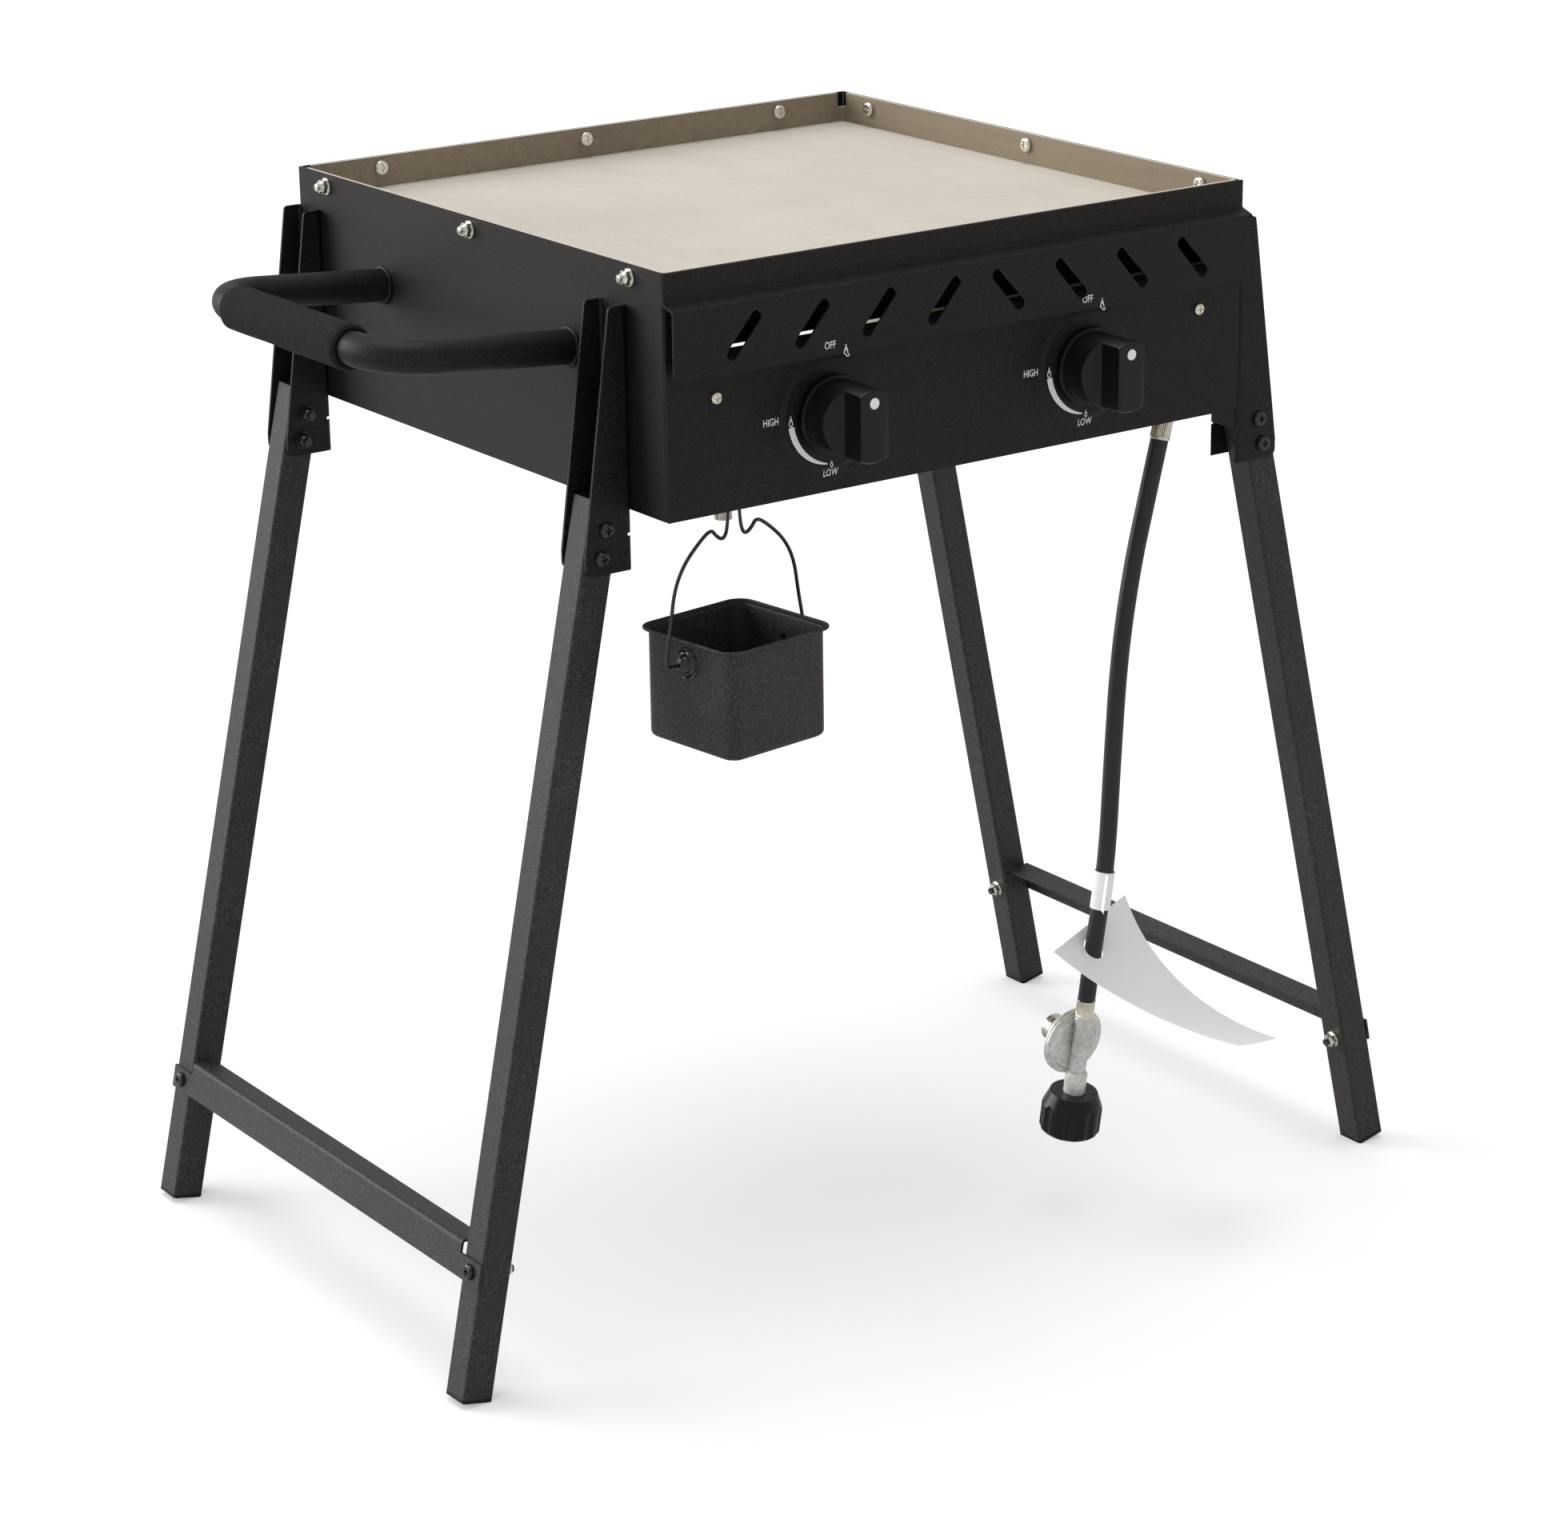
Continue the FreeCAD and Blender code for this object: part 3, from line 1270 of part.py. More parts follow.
def make_regulator():
    """Round die-cast regulator: stepped face, pipe rib across it, domed back and a neck below."""
    out = V(0, -1, 0)
    back = V(0, 1, 0)
    disc = rod(regulator_radius, V(0, regulator_rim / 2.0, 0), V(0, -regulator_rim / 2.0, 0))
    step = (regulator_radius + regulator_face_radius) / 2.0
    disc = disc.fuse(rod(step, V(0, -regulator_rim / 2.0, 0), V(0, -regulator_rim / 2.0 - 1.2, 0)))
    disc = disc.fuse(rod(regulator_face_radius, V(0, 0, 0), out * (regulator_rim / 2.0 + regulator_face_depth)))
    disc = disc.fuse(Part.makeCone(step, regulator_back_radius, regulator_back_depth, V(0, 0, 0), back))
    pipe_top = V(0, regulator_pipe_y, regulator_inlet_z)
    bend = V(0, regulator_pipe_y, -6.0)
    neck_top = V(0, regulator_pipe_y, regulator_neck_top)
    disc = disc.fuse(rod(regulator_pipe_radius, bend, pipe_top)).fuse(rod(regulator_pipe_radius, neck_top, bend))
    neck = rod(regulator_neck_radius, V(0, regulator_pipe_y, regulator_neck_end), neck_top)
    disc = disc.fuse(neck).removeSplitter()
    bore = rod(gas_bore, pipe_top, V(0, regulator_pipe_y, regulator_inlet_z - 12.0))
    low_bore = rod(gas_bore, V(0, regulator_pipe_y, regulator_neck_end), V(0, regulator_pipe_y, regulator_neck_end + 12.0))
    return placed(disc.cut(bore).cut(low_bore))


def make_regulator_cap():
    seat = V(0, regulator_back_depth, 0)
    cap = rod(regulator_cap_radius, seat, seat + V(0, regulator_cap_length, 0))
    end = [e for e in cap.Edges if abs(e.CenterOfMass.y - seat.y - regulator_cap_length) < 1e-6]
    return placed(cap.makeFillet(1.5, end[:1]))


def nut_levels():
    """Top and bottom of the coupling nut in the regulator's frame."""
    top = regulator_neck_end + nut_top_wall + nipple_gap
    return top, top - nut_length


def make_nipple():
    """Brass nipple under the neck: its flange carries the coupling nut, its nose seals in the cylinder valve."""
    start = V(0, regulator_pipe_y, regulator_neck_end)
    flange_end = start - V(0, 0, nipple_flange)
    nipple = rod(nipple_flange_radius, start, flange_end)
    nose_end = V(0, regulator_pipe_y, nut_levels()[1] + nipple_flange)
    nipple = nipple.fuse(rod(nipple_radius, flange_end, nose_end + V(0, 0, nipple_radius)))
    nipple = nipple.fuse(Part.makeCone(nipple_radius, nipple_radius / 2.0, nipple_radius, nose_end + V(0, 0, nipple_radius),
                                       V(0, 0, -1)))
    return placed(nipple.removeSplitter().cut(rod(gas_bore / 2.0, start, nose_end)))


def make_coupling_nut():
    """Large hand nut with shallow flutes and a sloping shoulder, turning on the neck."""
    top, bottom = nut_levels()
    axis = V(0, regulator_pipe_y, 0)
    side_top = top - nut_shoulder_height
    nut = rod(nut_radius, axis + V(0, 0, bottom), axis + V(0, 0, side_top))
    low = [e for e in nut.Edges if abs(e.CenterOfMass.z - bottom) < 1e-6 and e.Closed]
    nut = nut.makeChamfer(2.0, low[:1])
    nut = nut.fuse(Part.makeCone(nut_radius, nut_shoulder, nut_shoulder_height, axis + V(0, 0, side_top), V(0, 0, 1)))
    nut = nut.removeSplitter()
    reach = nut_radius + nut_flute_radius - nut_flute_depth
    for i in range(nut_flutes):
        turn = math.radians(360.0 * i / nut_flutes)
        centre = axis + V(reach * math.cos(turn), reach * math.sin(turn), 0)
        nut = nut.cut(rod(nut_flute_radius, centre + V(0, 0, bottom - 1.0), centre + V(0, 0, top + 1.0)))
    cavity_top = V(0, regulator_pipe_y, regulator_neck_end + nipple_gap)
    nut = nut.cut(rod(nut_bore, axis + V(0, 0, bottom - 1.0), cavity_top))
    return placed(nut.cut(rod(regulator_neck_radius + running_gap, cavity_top - V(0, 0, 1), axis + V(0, 0, top + 1.0))))


def hose_at(height):
    """Point and direction of the hose's runs at a height."""
    for above, below in zip(hose_points, hose_points[1:]):
        if below.z <= height <= above.z:
            share = (above.z - height) / (above.z - below.z)
            return above + (below - above) * share, (above - below).normalize()
    return hose_points[-1], hose_up


def make_band():
    """Blank sleeve round the hose."""
    centre, way = hose_at(band_height)
    inner = hose_radius + band_gap
    return tube(inner + band_thickness, inner, centre - way * (band_length / 2.0), centre + way * (band_length / 2.0))


def make_tag():
    """Blank card with the hose through a hole near its end, drooping to the front."""
    centre, way = hose_at(tag_height)
    card = box(-tag_hole_end, tag_length - tag_hole_end, -tag_width + tag_hole_side, tag_hole_side,
               -tag_thickness / 2.0, tag_thickness / 2.0)
    turn = FreeCAD.Rotation(V(0, 0, 1), tag_turn)
    turn = turn.multiply(FreeCAD.Rotation(V(0, 1, 0), tag_droop)).multiply(FreeCAD.Rotation(V(1, 0, 0), tag_roll))
    card.Placement = FreeCAD.Placement(centre, turn)
    reach = way * (2.0 * hose_radius)
    return card.cut(rod(hose_radius + 2.0 * band_gap, centre - reach, centre + reach))


nodes = {}
cord_nodes = ["gas_hose", "top_ferrule", "end_ferrule", "hose_sleeve", "hose_tag", "regulator_body", "regulator_cap"]
cord_nodes += ["outlet_nipple", "coupling_nut"]
sides = {-1: "left", 1: "right"}
ends = {-1: "front", 1: "rear"}

nodes["griddle_plate"] = make_tray()
nodes["rear_panel"] = make_rear_panel()
nodes["front_guard"] = make_front_guard()
nodes["control_panel"] = make_control_panel()
nodes["heat_baffle"] = make_baffle()
nodes["grease_spout"] = make_spout()
for side, side_name in sides.items():
    nodes[side_name + "_side_panel"] = make_side_panel(side)
    nodes[side_name + "_leg_brace"] = make_brace(side)
    for end, end_name in ends.items():
        nodes[side_name + "_" + end_name + "_bracket"] = make_bracket(side, end)
        nodes[side_name + "_" + end_name + "_leg"] = make_leg(side, end)
nodes["bracket_rivets"] = make_rivets()
nodes["foot_caps"] = make_foot_caps()
nodes["leg_bolts"] = make_leg_bolts()
nodes["leg_washers"] = make_leg_washers()
nodes["leg_nuts"] = make_leg_nuts()
nodes["brace_bolts"] = make_brace_bolts()
nodes["rim_bolts"] = make_rim_bolts()
nodes["flange_nuts"] = make_rim_nuts() + make_brace_nuts()
nodes["short_screws"] = make_panel_screws() + make_burner_screws() + make_clamp_screws()
nodes["handle_tube"] = make_handle_tube()
nodes["handle_grip"] = make_grip()
nodes["handle_plugs"] = make_handle_plugs()
nodes["handle_screws"] = make_handle_screws()
nodes["burner_rails"] = make_burner_rails()
nodes["gas_rail"] = make_gas_rail()
nodes["manifold_pipe"] = make_manifold()
nodes["manifold_clamps"] = [make_clamp(x) for x in clamp_x]
nodes["valve_screws"] = make_valve_screws()
nodes["gas_jets"] = [make_jet(x) for x in knob_x]
nodes["gas_inlet_elbow"] = make_inlet()
for x, side_name in zip(knob_x, ("left", "right")):
    nodes[side_name + "_burner"] = make_burner(x)
    nodes[side_name + "_valve_body"] = make_valve_body(x)
    nodes[side_name + "_valve_plug"] = make_plug(x)
    nodes[side_name + "_knob_stem"] = make_stem(x)
    nodes[side_name + "_knob"] = make_knob(x)
nodes["bucket_bail"] = make_bail()
nodes["grease_bucket"] = make_bucket()
nodes["bucket_ears"] = make_ears()
nodes["gas_hose"] = make_hose()
nodes["top_ferrule"] = make_top_ferrule()
nodes["end_ferrule"] = make_end_ferrule()
nodes["hose_sleeve"] = make_band()
nodes["hose_tag"] = make_tag()
nodes["regulator_body"] = make_regulator()
nodes["regulator_cap"] = make_regulator_cap()
nodes["outlet_nipple"] = make_nipple()
nodes["coupling_nut"] = make_coupling_nut()

outline_box = FreeCAD.BoundBox()
for name, shapes in nodes.items():
    if name not in cord_nodes:
        for shape in shapes if isinstance(shapes, list) else [shapes]:
            outline_box.add(shape.BoundBox)
shift = V(-outline_box.Center.x, -outline_box.Center.y, 0)
print("shift to the middle of the outline", round(shift.x, 4), round(shift.y, 4), "size", outline_box)

for name, shapes in nodes.items():
    for shape in shapes if isinstance(shapes, list) else [shapes]:
        shape.translate(shift)
    node = save(name, shapes)
    if not node.isValid():
        print("not valid:", name)
print(len(nodes), "nodes")
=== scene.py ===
import json
import math
import bmesh
import bpy
from bpy.props import FloatProperty, FloatVectorProperty, IntProperty, PointerProperty
from mathutils import Matrix, Vector


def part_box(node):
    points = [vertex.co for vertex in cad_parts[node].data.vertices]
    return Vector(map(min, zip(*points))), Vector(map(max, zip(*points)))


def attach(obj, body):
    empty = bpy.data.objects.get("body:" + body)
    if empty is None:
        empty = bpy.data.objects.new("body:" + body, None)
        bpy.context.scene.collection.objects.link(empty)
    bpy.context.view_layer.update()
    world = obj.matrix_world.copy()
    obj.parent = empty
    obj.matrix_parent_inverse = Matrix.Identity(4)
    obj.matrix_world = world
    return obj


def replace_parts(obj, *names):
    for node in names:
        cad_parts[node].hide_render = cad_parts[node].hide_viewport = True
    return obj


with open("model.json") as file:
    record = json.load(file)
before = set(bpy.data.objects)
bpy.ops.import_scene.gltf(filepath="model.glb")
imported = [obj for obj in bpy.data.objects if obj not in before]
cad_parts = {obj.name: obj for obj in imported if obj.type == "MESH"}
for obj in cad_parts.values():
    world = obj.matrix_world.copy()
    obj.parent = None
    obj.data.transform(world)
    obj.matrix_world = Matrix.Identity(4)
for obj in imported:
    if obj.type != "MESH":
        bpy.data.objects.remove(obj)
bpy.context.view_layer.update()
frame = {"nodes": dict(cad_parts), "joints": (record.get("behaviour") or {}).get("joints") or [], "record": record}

bl_info = {
    "name": "Portable Gas Griddle",
    "version": (1, 0, 0),
    "blender": (4, 5, 0),
    "location": "View3D > Sidebar > Griddle",
    "description": "Dresses the packed solids of a two-burner gas griddle on a four-leg stand",
    "category": "Object",
}

PANEL_SHEET = 0.0015
SIDES = ("left", "right")
SIDE_LOW, SIDE_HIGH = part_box("left_side_panel")
MIDDLE_Y = (SIDE_LOW.y + SIDE_HIGH.y - PANEL_SHEET) / 2

# Points nearer to each other than this, in metres, are one point
TOUCH = 1e-6

# Sides of a round blank that is made square, a multiple of four
SQUARE_SIDES = 64

# Regulator, in its own frame: its gas passage in front of its middle, the passage's top, the ferrule on it
PASSAGE_FRONT = 0.0095
PASSAGE_TOP = 0.0255
END_FERRULE_LENGTH = 0.0155


def place(x, y, z):
    """Point in metres, from millimetres measured off the middle of the griddle's box and the floor."""
    return Vector((x / 1000, y / 1000 + MIDDLE_Y, z / 1000))


def joint_point(name):
    """Point on the axis of one of the frame's joints."""
    return next(Vector(joint["pos_m"]) for joint in frame["joints"] if joint["name"] == name)


# Route of the gas hose in millimetres, from its upper ferrule down to the one at the regulator
HOSE_POINTS = [(200.5, -230, 627), (189.2, -230, 584.3), (175, -230, 530), (163.6, -230, 462),
               (157.8, -230.5, 382), (152.5, -231.5, 297), (141.3, -231, 233.9), (139.9, -224, 184)]
HOSE_ROUTE = [place(*point) for point in HOSE_POINTS]
HOSE_END_UP = (HOSE_ROUTE[-2] - HOSE_ROUTE[-1]).normalized()


# Shader helpers

class Value:
    """A shader socket that is worked with as a number: each operator adds a Math node."""

    def __init__(self, surface, socket):
        self.surface = surface
        self.socket = socket

    def maths(self, operation, first, second):
        node = self.surface.node("ShaderNodeMath", {"operation": operation}, {0: first, 1: second})
        return Value(self.surface, node.outputs[0])

    def __add__(self, other):
        return self.maths("ADD", self, other)

    def __radd__(self, other):
        return self.maths("ADD", other, self)

    def __mul__(self, other):
        return self.maths("MULTIPLY", self, other)

    def __rmul__(self, other):
        return self.maths("MULTIPLY", other, self)

    def __gt__(self, other):
        return self.maths("GREATER_THAN", self, other)


class Surface:
    """Node material of one finish, with its pattern on Object coordinates."""

    def __init__(self, name):
        self.name = name
        self.material = bpy.data.materials.new(name + "_finish")
        self.material.use_nodes = True
        self.tree = self.material.node_tree
        self.shader = self.tree.nodes["Principled BSDF"]
        self.where = self.node("ShaderNodeTexCoord").outputs["Object"]

    def node(self, kind, settings=None, sockets=None):
        """Add a node: its settings first, then the values or links of its sockets."""
        node = self.tree.nodes.new(kind)
        for name, value in (settings or {}).items():
            if name == "stops":
                self.set_stops(node.color_ramp, value)
            else:
                setattr(node, name, value)
        for name, value in (sockets or {}).items():
            self.feed(node.inputs[name], value)
        return node

    def set_stops(self, ramp, stops):
        while len(ramp.elements) < len(stops):
            ramp.elements.new(1.0)
        for element, (position, colour) in zip(ramp.elements, stops):
            element.position = position
            element.color = (*colour, 1.0)

    def feed(self, socket, value):
        """Link a socket, or give it a number or a colour."""
        if isinstance(value, Value):
            value = value.socket
        if isinstance(value, bpy.types.NodeSocket):
            self.tree.links.new(value, socket)
        elif hasattr(value, "__len__") and len(value) == 3 and socket.type == "RGBA":
            socket.default_value = (*value, 1.0)
        else:
            socket.default_value = value

    def set(self, **sockets):
        """Set the shader's own sockets, written with underscores for spaces."""
        for name, value in sockets.items():
            self.feed(self.shader.inputs[name.replace("_", " ")], value)
        return self

    def noise(self, scale, detail, stretch=(1, 1, 1)):
        """Cloudy pattern from 0 to 1; scale is in cells per metre."""
        mapping = self.node("ShaderNodeMapping", None, {"Vector": self.where, "Scale": stretch})
        sockets = {"Vector": mapping.outputs[0], "Scale": scale, "Detail": detail}
        return Value(self, self.node("ShaderNodeTexNoise", None, sockets).outputs["Fac"])

    def cells(self, scale):
        """Distance to the nearest of scattered points, for pores and pits."""
        node = self.node("ShaderNodeTexVoronoi", None, {"Vector": self.where, "Scale": scale})
        return Value(self, node.outputs["Distance"])

    def ramp(self, value, stops):
        """Colours along a value."""
        return self.node("ShaderNodeValToRGB", {"stops": stops}, {"Fac": value}).outputs["Color"]

    def facing_up(self):
        """1 on faces that look up, 0 on walls."""
        normal = self.node("ShaderNodeNewGeometry").outputs["Normal"]
        parts = self.node("ShaderNodeSeparateXYZ", None, {0: normal})
        return Value(self, parts.outputs["Z"]) > 0.6

    def mix(self, factor, first, second):
        """Colour between two colours."""
        node = self.node("ShaderNodeMix", {"data_type": "RGBA"}, {0: factor, 6: first, 7: second})
        return node.outputs[2]

    def bump(self, height, strength, depth):
        """Relief of the given depth in metres."""
        node = self.node("ShaderNodeBump", None, {"Height": height, "Strength": strength, "Distance": depth})
        self.set(Normal=node.outputs[0])
        return self


def tones(colour, *steps):
    """Ramp stops of one colour; each step is a position and the factor on the colour there."""
    return [(position, [min(1.0, part * factor) for part in colour]) for position, factor in steps]


# Finishes: one for each material slot of the record, one for the stand, whose coat is a lighter copy of the box's
# as painted light, and one for the printed marks

def powder_coat(name, black, gloss):
    """Textured black powder coat."""
    coat = Surface(name)
    speckle = coat.noise(800, 2)
    cloud = coat.noise(9, 3)
    stops = tones(black, (0.34, 0.35), (0.5, 1), (0.66, 2.6))
    coat.set(Base_Color=coat.ramp(speckle * 0.85 + cloud * 0.15, stops),
             Roughness=speckle * 0.2 + cloud * 0.1 + 0.36, Specular_IOR_Level=gloss)
    return coat.bump(speckle, 0.3, 0.0003)


def rolled_steel(finishes):
    """Pale flat of the griddle plate and its walls, which are painted darker and browner as painted shade, with
    faint lines along the plate.
    """
    steel = Surface("griddle_steel")
    speckle = steel.noise(1300, 2)
    cloud = steel.noise(5, 4)
    streak = steel.noise(160, 3, (1, 0.06, 1))
    pattern = speckle * 0.6 + cloud * 0.25 + streak * 0.15
    flat = steel.ramp(pattern, tones(finishes.plate_colour, (0.35, 0.8), (0.5, 1), (0.68, 1.2)))
    # Painted shade: the walls take a darker, browner copy of the plate's colour, because upright walls catch less
    # light than the flat
    wall = steel.ramp(pattern, tones(finishes.shaded_wall_colour, (0.35, 0.7), (0.5, 1), (0.68, 1.35)))
    steel.set(Base_Color=steel.mix(steel.facing_up(), wall, flat), Roughness=speckle * 0.2 + 0.6,
              Metallic=0.1, Specular_IOR_Level=0.25)
    return steel.bump(speckle * 0.7 + streak * 0.3, 0.2, 0.0002)


def metal(name, colour, roughness, mottle=0.15, scale=700.0, relief=0.1):
    """Bare or plated metal with a fine mottle."""
    surface = Surface(name)
    grain = surface.noise(scale, 3)
    cloud = surface.noise(scale / 12, 2)
    stops = tones(colour, (0.3, 1 - mottle), (0.7, 1 + mottle))
    surface.set(Base_Color=surface.ramp(grain * 0.6 + cloud * 0.4, stops), Metallic=1.0,
                Roughness=grain * 0.14 + roughness)
    return surface.bump(grain, relief, 0.0001)


def die_cast(finishes):
    """Dull, coarser grained zinc."""
    zinc = metal("die_cast_zinc", finishes.zinc_colour, 0.4, mottle=0.3, scale=260.0, relief=0.35)
    return zinc.set(Metallic=0.6)


def black_gloss():
    """Black zinc plate of screws, rivets and wire."""
    surface = Surface("black_fastener")
    grain = surface.noise(900, 2)
    stops = [(0.35, (0.006, 0.006, 0.007)), (0.7, (0.02, 0.02, 0.022))]
    surface.set(Base_Color=surface.ramp(grain, stops), Roughness=grain * 0.12 + 0.1)
    return surface.bump(grain, 0.08, 0.0001)


def plastic(name, colour, roughness, relief):
    """Moulded plastic with a faint spark-eroded grain."""
    surface = Surface(name)
    grain = surface.noise(1600, 2)
    cloud = surface.noise(40, 2)
    surface.set(Base_Color=surface.ramp(grain * 0.7 + cloud * 0.3, tones(colour, (0.35, 0.7), (0.7, 1.5))),
                Roughness=grain * 0.18 + roughness, Specular_IOR_Level=0.28)
    return surface.bump(grain, relief, 0.0001)


def foam(finishes):
    """Matt black foam with open pores, their insides darkened as painted shade."""
    surface = Surface("grip_foam")
    pores = surface.cells(820)
    clouds = surface.noise(300, 4)
    # Painted shade: the ramp darkens the pores' centres to 0.3 of the colour and lightens the foam between them;
    # the bump gives their relief
    stops = tones(finishes.foam_colour, (0.15, 0.3), (0.45, 1), (0.8, 2.4))
    surface.set(Base_Color=surface.ramp(pores * 0.8 + clouds * 0.4, stops), Roughness=clouds * 0.1 + 0.86,
                Specular_IOR_Level=0.15)
    return surface.bump(pores + clouds * 0.6, 0.6, 0.0006)


def rubber(finishes):
    """Satin black rubber, a little streaked along the hose."""
    surface = Surface("hose_rubber")
    grain = surface.noise(900, 2)
    cloud = surface.noise(60, 2, (1, 1, 0.2))
    stops = tones(finishes.hose_colour, (0.35, 0.6), (0.7, 1.6))
    surface.set(Base_Color=surface.ramp(grain * 0.6 + cloud * 0.4, stops), Roughness=cloud * 0.16 + 0.3,
                Specular_IOR_Level=0.4)
    return surface.bump(grain, 0.1, 0.0002)


def card(finishes):
    """White card with a soft fibre grain."""
    surface = Surface("paper")
    fibre = surface.noise(1700, 3)
    cloud = surface.noise(14, 3)
    stops = tones(finishes.card_colour, (0.3, 0.93), (0.55, 1), (0.8, 1.03))
    surface.set(Base_Color=surface.ramp(cloud * 0.6 + fibre * 0.4, stops), Roughness=fibre * 0.2 + 0.5)
    return surface.bump(fibre * 0.5 + cloud * 0.5, 0.15, 0.0002)


def ink():
    """White ink of the printed marks and the knobs' dots."""
    surface = Surface("white_ink")
    grain = surface.noise(2200, 2)
    stops = [(0.3, (0.78, 0.78, 0.77)), (0.6, (0.92, 0.92, 0.91))]
    surface.set(Base_Color=surface.ramp(grain, stops), Roughness=grain * 0.2 + 0.4)
    return surface.bump(grain, 0.05, 0.0001)


def make_finishes(finishes):
    """Every finish by its name."""
    black = finishes.knob_colour
    surfaces = [
        # The box's coat and the stand's are one powder coat: the box's copy is darker as painted shade on its
        # front, the stand's copy lighter as painted light on legs, braces and bucket
        powder_coat("black_coat", finishes.shaded_box_colour, finishes.coat_gloss),
        powder_coat("stand_coat", finishes.lit_stand_colour, finishes.stand_gloss),
        rolled_steel(finishes), die_cast(finishes), black_gloss(),
        foam(finishes), rubber(finishes), card(finishes), ink(),
        metal("zinc_fastener", finishes.fastener_colour, 0.14),
        metal("nickel", finishes.nickel_colour, 0.16),
        metal("brass", finishes.brass_colour, 0.22),
        metal("steel_tube", finishes.tube_colour, 0.3),
        plastic("knob_plastic", black, 0.3, 0.1),
        plastic("cap_plastic", black, 0.45, 0.15),
        plastic("nut_plastic", black, 0.2, 0.08),
    ]
    return {surface.name: surface.material for surface in surfaces}


# Modelling helpers

def deselect():
    if bpy.context.object is not None and bpy.context.object.mode != "OBJECT":
        bpy.ops.object.mode_set(mode="OBJECT")
    bpy.ops.object.select_all(action="DESELECT")


def choose(piece):
    """Make one piece the only one selected, and the active one."""
    deselect()
    piece.select_set(True)
    bpy.context.view_layer.objects.active = piece


def select_only(piece, kind, test):
    """In edit mode, select only the faces or the edges that pass a test."""
    bpy.ops.mesh.select_mode(type=kind)
    bpy.ops.mesh.select_all(action="DESELECT")
    mesh = bmesh.from_edit_mesh(piece.data)
    for part in mesh.faces if kind == "FACE" else mesh.edges:
        part.select_set(test(part))
    mesh.select_flush_mode()
    bmesh.update_edit_mesh(piece.data)


def extrude_rings(profile, start):
    """In edit mode, draw the selected outline through (scale, height) steps about local Z."""
    scale, height = start
    for next_scale, next_height in profile:
        bpy.ops.mesh.extrude_region_move(TRANSFORM_OT_translate={"value": (0, 0, next_height - height)})
        factor = next_scale / scale
        bpy.ops.transform.resize(value=(factor, factor, 1), center_override=(0, 0, next_height))
        scale, height = next_scale, next_height


def close_shell(piece, hollow):
    """In edit mode, join the first and last ring of a hollow shape, and turn all faces outwards."""
    if hollow:
        most = max(len(face.verts) for face in bmesh.from_edit_mesh(piece.data).faces)
        select_only(piece, "FACE", lambda face: len(face.verts) == most)
        bpy.ops.mesh.delete(type="ONLY_FACE")
        select_only(piece, "EDGE", lambda edge: edge.is_boundary)
        bpy.ops.mesh.bridge_edge_loops()
    bpy.ops.mesh.select_all(action="SELECT")
    bpy.ops.mesh.remove_doubles(threshold=TOUCH)
    bpy.ops.mesh.normals_make_consistent(inside=False)
    bpy.ops.object.mode_set(mode="OBJECT")


def turned(name, profile, sides=64, hollow=False):
    """Round piece about local Z through (radius, height) rings; a hollow one's last ring meets its first."""
    deselect()
    radius, height = profile[0]
    bpy.ops.mesh.primitive_circle_add(vertices=sides, radius=radius, fill_type="NGON",
                                      location=(0, 0, height))
    piece = bpy.context.object
    bpy.ops.object.transform_apply(location=True)
    bpy.ops.object.mode_set(mode="EDIT")
    extrude_rings(profile[1:], profile[0])
    close_shell(piece, hollow)
    piece.name = name
    return piece


def arc(centre, radius, start, end, steps):
    """Points (across, along) of an arc in a profile, its angles in degrees."""
    turns = [math.radians(start + (end - start) * i / steps) for i in range(steps + 1)]
    return [(centre[0] + radius * math.cos(turn), centre[1] + radius * math.sin(turn)) for turn in turns]


def squared(piece, half, corner):
    """Turn a round piece into a square one with rounded corners, its walls as thick as they were."""
    tightest = 0.2

    def square(point):
        reach = math.hypot(point.x, point.y)
        if reach < TOUCH:
            return point
        angle = math.degrees(math.atan2(point.y, point.x)) % 360
        quarter = int(angle // 90)
        step = 360 / SQUARE_SIDES
        within = math.radians(90 * quarter + 90 * (angle - 90 * quarter - step / 2) / (90 - step))
        bend = max(tightest * reach, corner + reach - half)
        middle = math.radians(90 * quarter + 45)
        away = (reach - bend) * math.sqrt(2)
        x = away * math.cos(middle) + bend * math.cos(within)
        return Vector((x, away * math.sin(middle) + bend * math.sin(within), point.z))

    choose(piece)
    bpy.ops.transform.rotate(value=math.pi / SQUARE_SIDES, orient_axis="Z")
    bpy.ops.object.transform_apply(rotation=True)
    return reshape(piece, square)


def with_modifier(piece, kind, **settings):
    """Add a modifier with its settings and apply it."""
    choose(piece)
    modifier = piece.modifiers.new(kind.title(), kind)
    for name, value in settings.items():
        setattr(modifier, name, value)
    bpy.ops.object.modifier_apply(modifier=modifier.name)
    return piece


def cut(piece, cutter):
    """Take one piece's space out of another, and drop the cutter."""
    with_modifier(piece, "BOOLEAN", operation="DIFFERENCE", object=cutter, solver="EXACT")
    bpy.data.objects.remove(cutter)
    return piece


def reshape(piece, rule):
    """Move every vertex by a formula."""
    for vertex in piece.data.vertices:
        vertex.co = rule(vertex.co)
    piece.data.update()
    return piece


def smooth(piece, degrees=32):
    choose(piece)
    bpy.ops.object.shade_smooth_by_angle(angle=math.radians(degrees))
    return piece


def settle(piece, matrix):
    """Put a finished piece in its place, with the place in its mesh."""
    choose(piece)
    piece.matrix_world = matrix
    bpy.ops.object.transform_apply(location=True, rotation=True, scale=True)
    return piece


def joined(name, parts):
    """One piece from several."""
    deselect()
    for part in parts:
        part.select_set(True)
    bpy.context.view_layer.objects.active = parts[0]
    bpy.ops.object.join()
    parts[0].name = name
    return parts[0]


